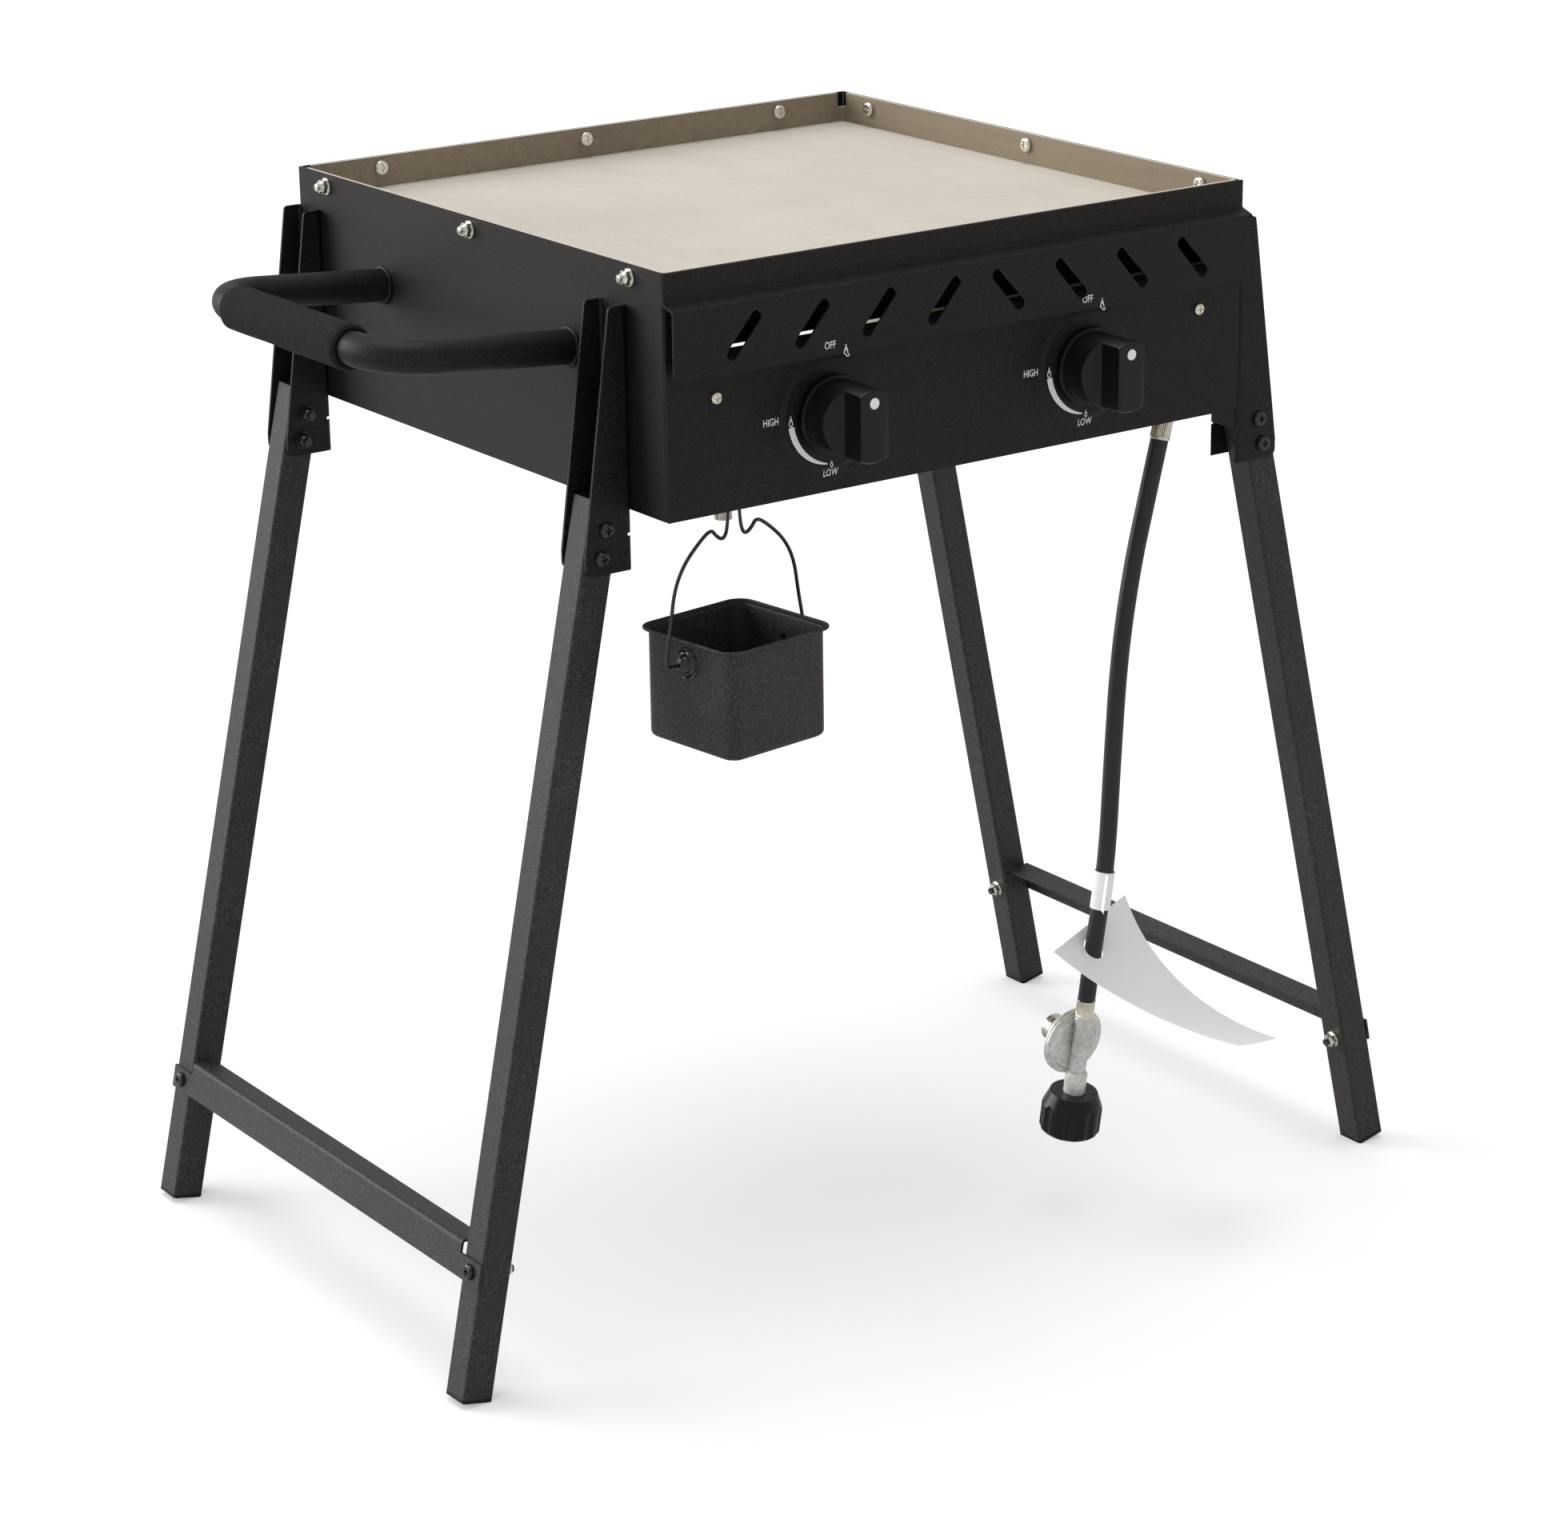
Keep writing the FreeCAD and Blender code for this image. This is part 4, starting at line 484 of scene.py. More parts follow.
def smooth_curve(name, points, resolution):
    """Curve of one open spline that has the points as its control points."""
    curve = bpy.data.curves.new(name, "CURVE")
    curve.dimensions = "3D"
    spline = curve.splines.new("NURBS")
    spline.points.add(len(points) - 1)
    for point, where in zip(spline.points, points):
        point.co = (*where, 1.0)
    spline.order_u = 3
    spline.use_endpoint_u = True
    spline.resolution_u = resolution
    piece = bpy.data.objects.new(name, curve)
    bpy.context.scene.collection.objects.link(piece)
    return piece


def finish_piece(piece, body, slot, material=None):
    """Give a piece the material named after its slot, or the one named instead, and the body that it rides on."""
    piece.data.materials.clear()
    piece.data.materials.append(bpy.data.materials[(material or slot) + "_finish"])
    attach(piece, body)
    return piece


def turn_to(way):
    """Turn that points Z along a direction."""
    return Vector((0, 0, 1)).rotation_difference(way).to_matrix().to_4x4()


def facing_front(point):
    """Frame at a point whose Z looks to the front and whose Y looks up."""
    return Matrix.Translation(point) @ Matrix.Rotation(math.radians(90), 4, "X")


def regulator_matrix():
    """Frame of the regulator: Z up along its passage, Y to the back, its middle below the end of the hose."""
    lean = math.atan2(HOSE_END_UP.x, HOSE_END_UP.z)
    tilt = -math.asin(HOSE_END_UP.y)
    turn = Matrix.Rotation(lean, 4, "Y") @ Matrix.Rotation(tilt, 4, "X")
    hose_end = turn @ Vector((0, -PASSAGE_FRONT, PASSAGE_TOP + END_FERRULE_LENGTH))
    return Matrix.Translation(HOSE_ROUTE[-1] - hose_end) @ turn


# Settings

def colour_setting(name, description, default):
    """Colour of a finish."""
    return FloatVectorProperty(name=name, description=description, default=default,
                               subtype="COLOR", min=0, max=1)


def level_setting(name, description, default):
    """Number from 0 to 1."""
    return FloatProperty(name=name, description=description, default=default,
                         subtype="FACTOR", min=0, max=1)


def length_setting(name, description, **limits):
    """Length in metres."""
    return FloatProperty(name=name, description=description, unit="LENGTH", **limits)


class FinishSettings(bpy.types.PropertyGroup):
    """Colours of the finishes."""

    # Painted shade: the box's coat is darkened so that its front panel looks unlit
    shaded_box_colour: colour_setting("Box coat", "Black powder coat of the box and the handle",
                                (0.0088, 0.0072, 0.0064))
    coat_gloss: level_setting("Box gloss", "Specular level of the box's powder coat", 0.22)
    # Painted light: the same coat on the stand is lightened so that legs, braces and bucket look lit
    lit_stand_colour: colour_setting("Stand coat", "Powder coat of legs, braces and bucket",
                                 (0.027, 0.0235, 0.0215))
    stand_gloss: level_setting("Stand gloss", "Specular level of the stand's powder coat", 0.3)
    plate_colour: colour_setting("Plate", "Flat of the griddle plate", (0.56, 0.517, 0.458))
    # Painted shade: the plate's inner walls get this darker, browner colour because they catch less light than the
    # flat
    shaded_wall_colour: colour_setting("Plate rim", "Inner walls of the griddle plate", (0.25, 0.205, 0.145))
    zinc_colour: colour_setting("Die-cast zinc", "Regulator and valve bodies", (0.66, 0.67, 0.64))
    fastener_colour: colour_setting("Zinc plate", "Rim bolts and flange nuts", (0.76, 0.74, 0.68))
    nickel_colour: colour_setting("Nickel plate", "Screws, ferrules and vent cap", (0.72, 0.68, 0.58))
    brass_colour: colour_setting("Brass", "Jets, elbow and nipple", (0.70, 0.55, 0.28))
    tube_colour: colour_setting("Tube steel", "Burners, manifold and grease outlet", (0.56, 0.52, 0.45))
    knob_colour: colour_setting("Black plastic", "Knobs, foot caps and coupling nut",
                                (0.0045, 0.0043, 0.0042))
    foam_colour: colour_setting("Foam", "Grip of the carrying handle", (0.009, 0.0078, 0.0072))
    hose_colour: colour_setting("Rubber", "Gas hose", (0.010, 0.010, 0.012))
    card_colour: colour_setting("Card", "Blank tag and hose sleeve", (0.94, 0.94, 0.93))


class ControlSettings(bpy.types.PropertyGroup):
    """Sizes of the knobs and of the marks round them."""

    bar_length: length_setting("Bar length", "How far the grip bar stands out of the knob's floor",
                               default=0.020, min=0.01, max=0.03)
    bar_width: length_setting("Bar width", "Width of the grip bar", default=0.024, min=0.01, max=0.04)
    floor_slope: length_setting("Floor slope", "Drop of the knob's floor from the bar to its edge",
                                default=0.005, min=0, max=0.01)
    dot_radius: length_setting("Dot radius", "Radius of the white dot on the grip bar",
                               default=0.004, min=0.001, max=0.008)
    dot_height: length_setting("Dot height", "Dot above the knob's axis", default=0.017, min=0, max=0.02)
    arc_radius: length_setting("Arc radius", "Outer radius of the printed arc",
                               default=0.0368, min=0.03, max=0.05)
    arc_width: length_setting("Arc width", "Width of the printed arc at its high end",
                              default=0.0048, min=0.001, max=0.01)
    letter_height: length_setting("Letter height", "Height of the capital letters",
                                  default=0.0052, min=0.002, max=0.01)


class HoseSettings(bpy.types.PropertyGroup):
    """Sizes of the hose and of what hangs on it."""

    radius: length_setting("Hose radius", "Outer radius of the gas hose", default=0.007, min=0.004, max=0.012)
    length: length_setting("Hose length", "Real length of the gas hose between its ferrules",
                           default=0.4488, min=0.3, max=2.0)
    ferrule_radius: length_setting("Ferrule radius", "Outer radius of the ferrules",
                                   default=0.00775, min=0.006, max=0.012)
    knurls: IntProperty(name="Crimp flutes", description="Fine flutes round a ferrule",
                        default=32, min=8, max=64)
    tag_size: FloatVectorProperty(name="Tag size", description="Length and width of the blank tag", size=2,
                                  default=(0.164, 0.0844), min=0.02, max=0.3, unit="LENGTH")
    tag_curl: FloatProperty(name="Tag curl", description="Turn of the tag from its hole to its free end",
                            default=math.radians(41.7), min=0.01, max=1.5, subtype="ANGLE")


class BucketSettings(bpy.types.PropertyGroup):
    """Sizes of the grease bucket."""

    sheet: length_setting("Sheet", "Thickness of the bucket's sheet", default=0.0008, min=0.0003, max=0.003)
    lip: length_setting("Lip", "How far the mouth stands out from the walls",
                        default=0.0046, min=0.001, max=0.01)
    roll_radius: length_setting("Rolled edge", "Radius of the rolled edge",
                                default=0.0011, min=0.0004, max=0.003)
    corner_radius: length_setting("Corner radius", "Radius of the upright corners",
                                  default=0.010, min=0.002, max=0.03)
    floor_radius: length_setting("Floor radius", "Radius of the edge round the floor",
                                 default=0.005, min=0.001, max=0.02)
    ear_radius: length_setting("Ear radius", "Radius of the ears' flat rims",
                               default=0.0115, min=0.004, max=0.02)
    ear_dome: FloatVectorProperty(name="Ear dome", description="Radius and height of the ears' domes", size=2,
                                  default=(0.0072, 0.0078), min=0.001, max=0.02, unit="LENGTH")
    wire_radius: length_setting("Wire radius", "Radius of the bail's wire",
                                default=0.00135, min=0.0005, max=0.003)
    turn: FloatProperty(name="Turn", description="Turn of the bucket about the upright axis",
                        default=math.radians(7.2), min=-0.8, max=0.8, subtype="ANGLE")


class RegulatorSettings(bpy.types.PropertyGroup):
    """Sizes of the regulator's casting."""

    radius: length_setting("Rim radius", "Radius of the round housing", default=0.0275, min=0.01, max=0.05)
    face_radius: length_setting("Face radius", "Radius of the sunk round face",
                                default=0.0225, min=0.01, max=0.05)
    pipe_radius: length_setting("Passage radius", "Radius of the gas passage across the face",
                                default=0.0065, min=0.002, max=0.01)
    neck_radius: length_setting("Neck radius", "Radius of the neck below the housing",
                                default=0.0088, min=0.004, max=0.02)


class StageSettings(bpy.types.PropertyGroup):
    """Camera and studio."""

    lens: FloatProperty(name="Lens", description="Focal length on a 36 mm wide sensor",
                        default=96.09, min=20, max=200)
    floor_radius: length_setting("Floor radius", "Radius of the floor", default=40.0, min=10, max=100)
    world_light: FloatProperty(name="Room light", description="Strength of the even light from all round",
                               default=0.58, min=0, max=2)
    floor_glow: level_setting("Floor white", "How much of the floor's white is its own", 0.36)
    top_light: FloatProperty(name="Top light", description="Strength of the wide light from above",
                             default=1.35, min=0, max=10)
    left_light: FloatProperty(name="Left light",
                              description="Strength of the wide light from the left and behind",
                              default=2.5, min=0, max=10)


class GriddleSettings(bpy.types.PropertyGroup):
    """All settings of the griddle."""

    finishes: PointerProperty(type=FinishSettings)
    controls: PointerProperty(type=ControlSettings)
    hose: PointerProperty(type=HoseSettings)
    bucket: PointerProperty(type=BucketSettings)
    regulator: PointerProperty(type=RegulatorSettings)
    stage: PointerProperty(type=StageSettings)


# Stage

def make_floor(stage):
    """White round floor that keeps a soft shadow: to the camera, part of its white is its own."""
    deselect()
    bpy.ops.mesh.primitive_circle_add(vertices=96, radius=stage.floor_radius, fill_type="NGON",
                                      location=(0, 0, 0))
    floor = bpy.context.object
    floor.name = "floor"
    paper = Surface("studio_floor")
    paper.set(Base_Color=(0.62, 0.62, 0.62), Roughness=0.9, Specular_IOR_Level=0.1)
    glow = paper.node("ShaderNodeEmission", None, {"Color": (1, 1, 1), "Strength": stage.floor_glow})
    dark = paper.node("ShaderNodeEmission", None, {"Color": (0, 0, 0), "Strength": 0.0})
    shaders = {0: seen_ray(paper), 1: dark.outputs[0], 2: glow.outputs[0]}
    seen = paper.node("ShaderNodeMixShader", None, shaders)
    total = paper.node("ShaderNodeAddShader", None, {0: paper.shader.outputs[0], 1: seen.outputs[0]})
    paper.feed(paper.tree.nodes["Material Output"].inputs["Surface"], total.outputs[0])
    floor.data.materials.append(paper.material)


def seen_ray(surface):
    """1 for what the camera sees directly, 0 for light that falls on things and for reflections."""
    return Value(surface, surface.node("ShaderNodeLightPath").outputs["Is Camera Ray"])


class RoomLight(Surface):
    """World that is white to the camera and gives an even light."""

    def __init__(self, world, strength):
        self.name = world.name
        world.use_nodes = True
        self.tree = world.node_tree
        background = self.tree.nodes["Background"]
        self.feed(background.inputs["Color"], (1, 1, 1))
        seen = seen_ray(self)
        self.feed(background.inputs["Strength"], seen * (1.0 - strength) + strength)


def make_sun(name, way, spread, strength):
    """Wide soft light that comes evenly from one direction."""
    deselect()
    bpy.ops.object.light_add(type="SUN", rotation=Vector(way).to_track_quat("Z", "Y").to_euler())
    sun = bpy.context.object
    sun.name = name
    sun.data.angle = math.radians(spread)
    sun.data.energy = strength


def make_camera(stage):
    """Camera at the viewing angle of the griddle's portrait: from the left and above the plate."""
    right = Vector((0.81273, -0.58249, -0.01333))
    forward = Vector((0.54767, 0.77156, -0.32367))
    up = right.cross(forward)
    turn = Matrix((right, up, -forward)).transposed().to_4x4()
    deselect()
    bpy.ops.object.camera_add()
    camera = bpy.context.object
    camera.matrix_world = Matrix.Translation(place(-1808.6, -2564.8, 1424.5)) @ turn
    camera.data.lens = stage.lens
    camera.data.sensor_width = 36.0
    bpy.context.scene.camera = camera


class GRIDDLE_OT_stage(bpy.types.Operator):
    """Add the camera, the floor and the studio light"""

    bl_idname = "griddle.stage"
    bl_label = "Stage"

    def execute(self, context):
        stage = context.scene.griddle.stage
        make_camera(stage)
        make_floor(stage)
        world = bpy.data.worlds.new("studio")
        context.scene.world = world
        RoomLight(world, stage.world_light)
        make_sun("top_light", (-0.05, 0.1, 1.0), 40, stage.top_light)
        make_sun("left_light", (-0.62, 0.72, 0.3), 45, stage.left_light)
        context.scene.view_settings.view_transform = "Standard"
        return {"FINISHED"}


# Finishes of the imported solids

class GRIDDLE_OT_finishes(bpy.types.Operator):
    """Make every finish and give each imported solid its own"""

    bl_idname = "griddle.finishes"
    bl_label = "Finishes"

    def execute(self, context):
        materials = make_finishes(context.scene.griddle.finishes)
        for subpart in frame["record"]["subparts"]:
            name = subpart["node"]
            # Legs and braces take the lighter copy of the coat, which is painted light
            finish = "stand_coat" if name.endswith(("_leg", "_leg_brace")) else subpart["material_slot"]
            for slot in frame["nodes"][name].material_slots:
                slot.material = materials[finish]
        return {"FINISHED"}


# Hose and what hangs on it

def make_hose(radius):
    """Gas hose on its route, and the points of its middle line."""
    hose = smooth_curve("hose", HOSE_ROUTE, 24)
    line = [vertex.co.copy() for vertex in bpy.data.meshes.new_from_object(hose).vertices]
    hose.data.bevel_depth = radius
    hose.data.bevel_resolution = 7
    return hose, line


def hose_frame(line, height):
    """Frame on the hose at a height: Z up along it."""
    for above, below in zip(line, line[1:]):
        if below.z <= height <= above.z:
            point = below.lerp(above, (height - below.z) / (above.z - below.z))
            return Matrix.Translation(point) @ turn_to((above - below).normalized())
    raise ValueError("the hose has no point at that height")


def make_ferrule(name, radius, length, knurls):
    """Crimped ferrule from 0 up to its length: a plain lip at each end and fine flutes between."""
    lip = 0.0022
    ease = 0.0004
    bore = 0.0066
    sunk = radius - 0.0003
    flute_depth = 0.00022
    foot = [(radius - ease, 0), (radius, ease), (radius, lip), (sunk, lip + ease)]
    head = [(across, length - height) for across, height in reversed(foot)]
    ferrule = turned(name, [*foot, *head, (bore, length), (bore, 0)], knurls * 4, hollow=True)

    def flute(point):
        across = Vector((point.x, point.y, 0))
        between = lip < point.z < length - lip and across.length > bore + 0.0002
        if not between:
            return point
        wave = flute_depth * math.cos(knurls * math.atan2(point.y, point.x))
        return point + across.normalized() * wave

    return reshape(ferrule, flute)


def make_sleeve(line, radius):
    """Label wrapped round the hose, with its free edge standing off as a flag."""
    length = 0.030
    height = 0.276
    stand_off = 0.013
    facing = math.radians(-35)
    wrapped = radius + 0.0006
    flag_root = radius + 0.0004
    round_steps = 40
    flag_steps = 8
    flag = flag_steps / (round_steps + flag_steps)
    deselect()
    bpy.ops.mesh.primitive_grid_add(x_subdivisions=round_steps + flag_steps, y_subdivisions=6, size=1)
    sleeve = bpy.context.object

    def wrap(point):
        along = point.x + 0.5
        rise = point.y * length
        if along > 1 - flag:
            reach = (along - (1 - flag)) / flag
            out = flag_root + reach * stand_off
            return Vector((0.0012 * math.sin(reach * 2.2), -out, rise + 0.0006 * reach))
        angle = -math.pi / 2 + 2 * math.pi * along / (1 - flag)
        return Vector((wrapped * math.cos(angle), wrapped * math.sin(angle), rise))

    reshape(sleeve, wrap)
    with_modifier(sleeve, "SOLIDIFY", thickness=0.0003, offset=1.0)
    sleeve.name = "sleeve"
    return settle(sleeve, hose_frame(line, height) @ Matrix.Rotation(facing, 4, "Z"))


def make_tag(line, sizes):
    """Blank card hung on the hose by a hole near one end: it droops, levels out and rolls over."""
    length, width = sizes.tag_size
    height = 0.2275
    behind = 0.0174
    beside = 0.029
    hole_radius = 0.008
    first_roll = 22.5
    steady_roll = 41
    early_roll = 34.9
    early_length = 0.0595
    turn = math.radians(-64.1)
    droop = math.radians(40.7)
    curl = -sizes.tag_curl / length
    ahead = Vector((math.cos(turn), math.sin(turn), 0))
    aside = Vector((-math.sin(turn), math.cos(turn), 0))
    up = Vector((0, 0, 1))
    deselect()
    bpy.ops.mesh.primitive_grid_add(x_subdivisions=40, y_subdivisions=18, size=1)
    tag = bpy.context.object

    def roll_at(along):
        """Roll of the card, which changes fast near its short end and then steadily."""
        early = early_roll * (1 - math.exp(-(along + behind) / early_length))
        return math.radians(first_roll - steady_roll * along - early)

    def bow(point):
        along = (point.x + 0.5) * length - behind
        across = (point.y + 0.5) * width - beside
        slope = droop + curl * along
        roll = roll_at(along)
        reach = ahead * (math.sin(slope) - math.sin(droop)) / curl
        reach += up * (math.cos(slope) - math.cos(droop)) / curl
        rise = (ahead * math.cos(slope) - up * math.sin(slope)).cross(aside)
        crease = 0.0012 * math.sin(26 * along + 30 * across)
        return reach + (aside * math.cos(roll) + rise * math.sin(roll)) * across + rise * crease

    reshape(tag, bow)
    with_modifier(tag, "SOLIDIFY", thickness=0.0004, offset=0.0)
    spot = hose_frame(line, height)
    settle(tag, Matrix.Translation(spot.translation))
    cut(tag, settle(turned("hole", [(hole_radius, -0.03), (hole_radius, 0.03)], 40), spot))
    tag.name = "tag"
    return tag


class GRIDDLE_OT_hose(bpy.types.Operator):
    """Model the gas hose, its ferrules, the blank sleeve and the blank tag"""

    bl_idname = "griddle.hose"
    bl_label = "Hose"

    def execute(self, context):
        sizes = context.scene.griddle.hose
        top_length = 0.025
        end_radius = sizes.ferrule_radius - 0.0005
        hose, line = make_hose(sizes.radius)
        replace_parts(finish_piece(hose, "root", "hose_rubber"), "gas_hose")
        up = (HOSE_ROUTE[0] - HOSE_ROUTE[1]).normalized()
        top = make_ferrule("crimped_top_ferrule", sizes.ferrule_radius, top_length, sizes.knurls)
        settle(top, Matrix.Translation(HOSE_ROUTE[0]) @ turn_to(up))
        end = make_ferrule("crimped_end_ferrule", end_radius, END_FERRULE_LENGTH, sizes.knurls)
        settle(end, regulator_matrix() @ Matrix.Translation((0, -PASSAGE_FRONT, PASSAGE_TOP)))
        sleeve = make_sleeve(line, sizes.radius)
        tag = make_tag(line, sizes)
        pieces = [(top, "nickel", "top_ferrule"), (end, "nickel", "end_ferrule"),
                  (sleeve, "paper", "hose_sleeve"), (tag, "paper", "hose_tag")]
        for piece, slot, node in pieces:
            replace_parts(finish_piece(smooth(piece), "root", slot), node)
        others = [bpy.data.objects[name] for name in ("cast_regulator", "banded_cap")]
        others += [frame["nodes"][name] for name in ("outlet_nipple", "coupling_nut")]
        return {"FINISHED"}


# Knobs

def make_scoop(sizes, body, length):
    """Cutter for one side of a knob: it leaves the grip bar and a floor that falls toward the edge."""
    past = 1.5
    inner = sizes.bar_width / 2
    outer = inner + past * (body - inner)
    foot = length - sizes.bar_length
    deselect()
    bpy.ops.mesh.primitive_cube_add(size=1, location=(0, 0, 0))
    cutter = bpy.context.object

    def scoop(point):
        height = 2 * length if point.z > 0 else foot - (past * sizes.floor_slope if point.x > 0 else 0)
        return Vector((outer if point.x > 0 else inner, 4 * body * point.y, height))

    def beside_bar(edge):
        return all(abs(end.co.x - inner) < TOUCH and end.co.z < length for end in edge.verts)

    reshape(cutter, scoop)
    bpy.ops.object.mode_set(mode="EDIT")
    select_only(cutter, "EDGE", beside_bar)
    bpy.ops.mesh.bevel(offset=0.002, segments=4)
    bpy.ops.object.mode_set(mode="OBJECT")
    return cutter


def make_knob(side, sizes):
    """Round knob with a grip bar, from a turned blank, scooped on both sides and with its edges eased."""
    low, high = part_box(side + "_knob")
    skirt = (high.x - low.x) / 2
    length = high.y - low.y
    body = skirt - 0.0023
    rings = [(skirt, 0), (skirt, 0.003), (skirt - 0.0006, 0.004), (body, 0.004)]
    rings += [(body - 0.0005, length - 0.0018), (body - 0.0011, length - 0.0006), (body - 0.0022, length)]
    knob = turned(side + "_turned_knob", rings, 96)
    for turn in (0, math.pi):
        cut(knob, settle(make_scoop(sizes, body, length), Matrix.Rotation(turn, 4, "Z")))
    with_modifier(knob, "BEVEL", width=0.0006, segments=3, limit_method="ANGLE", angle_limit=math.radians(50))
    return knob, length


def make_dot(side, sizes, length):
    """White dot near the upper end of the grip bar."""
    radius = sizes.dot_radius
    dot = turned(side + "_knob_dot", [(radius, -0.0002), (radius, 0.00006), (radius - 0.0002, 0.00012)], 40)
    return settle(dot, Matrix.Translation((0, sizes.dot_height, length)))


class GRIDDLE_OT_knobs(bpy.types.Operator):
    """Model the two gas knobs and their dots"""

    bl_idname = "griddle.knobs"
    bl_label = "Knobs"

    def execute(self, context):
        sizes = context.scene.griddle.controls
        for side in SIDES:
            axis = joint_point(side + "_knob_turn")
            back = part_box(side + "_knob")[1].y
            stand = facing_front((axis.x, back, axis.z))
            knob, length = make_knob(side, sizes)
            settle(knob, stand)
            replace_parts(finish_piece(smooth(knob, 28), side + "_knob", "knob_plastic"), side + "_knob")
            dot = settle(make_dot(side, sizes, length), stand)
            finish_piece(smooth(dot), side + "_knob", "paper", "white_ink")
        return {"FINISHED"}


# Printed marks: flames (height, width, middle) and words (text, lower left corner), from a knob's axis

PANEL_FLAMES = [(0.0078, 0.0036, (-0.0345, -0.0009)), (0.0052, 0.0028, (0.0005, -0.0368))]
PANEL_WORDS = [("HIGH", (-0.0575, -0.0015)), ("LOW", (-0.0065, -0.0455))]
GUARD_FLAMES = [(0.0085, 0.0040, (0.0060, 0.0465))]
GUARD_WORDS = [("OFF", (-0.0125, 0.0495))]


def make_word(text, height, corner):
    """Flat capital letters, their lower left corner at a point of the panel's front frame."""
    capital_share = 0.69
    narrowing = 0.74
    deselect()
    bpy.ops.object.text_add(location=(0, 0, 0))
    word = bpy.context.object
    word.data.body = text
    word.data.size = height / capital_share
    word.data.offset = height * 0.015
    word.data.resolution_u = 4
    choose(word)
    bpy.ops.object.convert(target="MESH")
    word = bpy.context.object
    return settle(word, Matrix.Translation((*corner, 0)) @ Matrix.Diagonal((narrowing, 1, 1, 1)))


def make_flame(height, width, middle):
    """Outlined drop: a ring of faces drawn to a tip at its top."""
    widest = 1.05
    shoulder = 0.35
    line_share = 0.2
    deselect()
    bpy.ops.mesh.primitive_circle_add(vertices=40, radius=0.5, fill_type="NGON", location=(0, 0, 0))
    flame = bpy.context.object

    def drop(position):
        rise = position.y + 0.5
        narrow = (1 - rise) ** 0.75 * 1.45 if rise > shoulder else widest
        return Vector((position.x * width * min(widest, narrow), (rise ** 1.15 - 0.5) * height, 0))

    reshape(flame, drop)
    bpy.ops.object.mode_set(mode="EDIT")
    bpy.ops.mesh.select_all(action="SELECT")
    bpy.ops.mesh.inset(thickness=width * line_share)
    bpy.ops.mesh.delete(type="ONLY_FACE")
    bpy.ops.object.mode_set(mode="OBJECT")
    return settle(flame, Matrix.Translation((*middle, 0)))


def make_arc(radius, width, centre):
    """Arc from nine o'clock toward six, thinning as it goes."""
    start = math.radians(188.5)
    end = math.radians(265)
    thinning = 0.8
    deselect()
    bpy.ops.mesh.primitive_grid_add(x_subdivisions=48, y_subdivisions=2, size=1)
    band = bpy.context.object

    def sweep(position):
        share = position.x + 0.5
        angle = start + share * (end - start)
        thin = width * (1 - thinning * share ** 2)
        reach = radius - thin * (position.y + 0.5)
        return Vector((reach * math.cos(angle), reach * math.sin(angle), 0))

    reshape(band, sweep)
    return settle(band, Matrix.Translation((*centre, 0)))


def make_marks(flames, words, letter_height, centre):
    """Flames and words of one sheet round one knob."""
    marks = [make_flame(height, width, centre + Vector(middle)) for height, width, middle in flames]
    return marks + [make_word(text, letter_height, centre + Vector(corner)) for text, corner in words]


def lay_print(name, parts, node):
    """Lay flat marks on a packed sheet's front and give them the thickness of ink."""
    start_off = 0.002
    ink_gap = 0.00003
    ink_thickness = 0.00004
    marks = joined(name, parts)
    choose(marks)
    bpy.ops.object.mode_set(mode="EDIT")
    bpy.ops.mesh.select_all(action="SELECT")
    bpy.ops.mesh.quads_convert_to_tris()
    bpy.ops.object.mode_set(mode="OBJECT")
    settle(marks, facing_front((0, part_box(node)[0].y - start_off, 0)))
    with_modifier(marks, "SHRINKWRAP", target=frame["nodes"][node], wrap_method="PROJECT",
                  use_project_x=False, use_project_y=True, use_project_z=False,
                  use_negative_direction=True, use_positive_direction=True, offset=ink_gap)
    with_modifier(marks, "SOLIDIFY", thickness=ink_thickness, offset=1.0, use_even_offset=False)
    return finish_piece(marks, "root", "paper", "white_ink")


class GRIDDLE_OT_marks(bpy.types.Operator):
    """Print OFF, HIGH and LOW with their flames and arcs round both knobs"""

    bl_idname = "griddle.marks"
    bl_label = "Marks"

    def execute(self, context):
        sizes = context.scene.griddle.controls
        panel = []
        guard = []
        for side in SIDES:
            axis = joint_point(side + "_knob_turn")
            centre = Vector((axis.x, axis.z))
            panel.append(make_arc(sizes.arc_radius, sizes.arc_width, centre))
            panel += make_marks(PANEL_FLAMES, PANEL_WORDS, sizes.letter_height, centre)
            guard += make_marks(GUARD_FLAMES, GUARD_WORDS, sizes.letter_height, centre)
        lay_print("panel_marks", panel, "control_panel")
        lay_print("guard_marks", guard, "front_guard")
        return {"FINISHED"}


# Grease bucket

def make_bucket(sizes, half, height):
    """Pressed square bucket: rounded floor edge, flared mouth and a rolled edge."""
    sheet = sizes.sheet
    roll = sizes.roll_radius
    floor = sizes.floor_radius
    flare = 0.0018
    wall = half - sizes.lip
    inner = wall - sheet
    rim = height - roll
    rings = arc((wall - floor, floor), floor, -90, 0, 6)
    rings += arc((wall + flare, rim - roll - flare), flare, 180, 90, 4)
    rings += arc((half - roll, rim), roll, -80, 170, 10)
    rings += arc((inner + flare, rim - roll + sheet - flare), flare, 90, 180, 4)
    rings += arc((inner - floor, floor + sheet), floor, 0, -90, 6)
    return squared(turned("pressed_bucket", rings, SQUARE_SIDES), wall, sizes.corner_radius)


def bail_frame():
    """Plane of the bail: Z up through the middle of the bucket, X from ear to ear."""
    low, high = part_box("grease_bucket")
    middle = (low + high) / 2
    turn = bpy.context.scene.griddle.bucket.turn
    return Matrix.Translation((middle.x, middle.y, 0)) @ Matrix.Rotation(turn, 4, "Z")


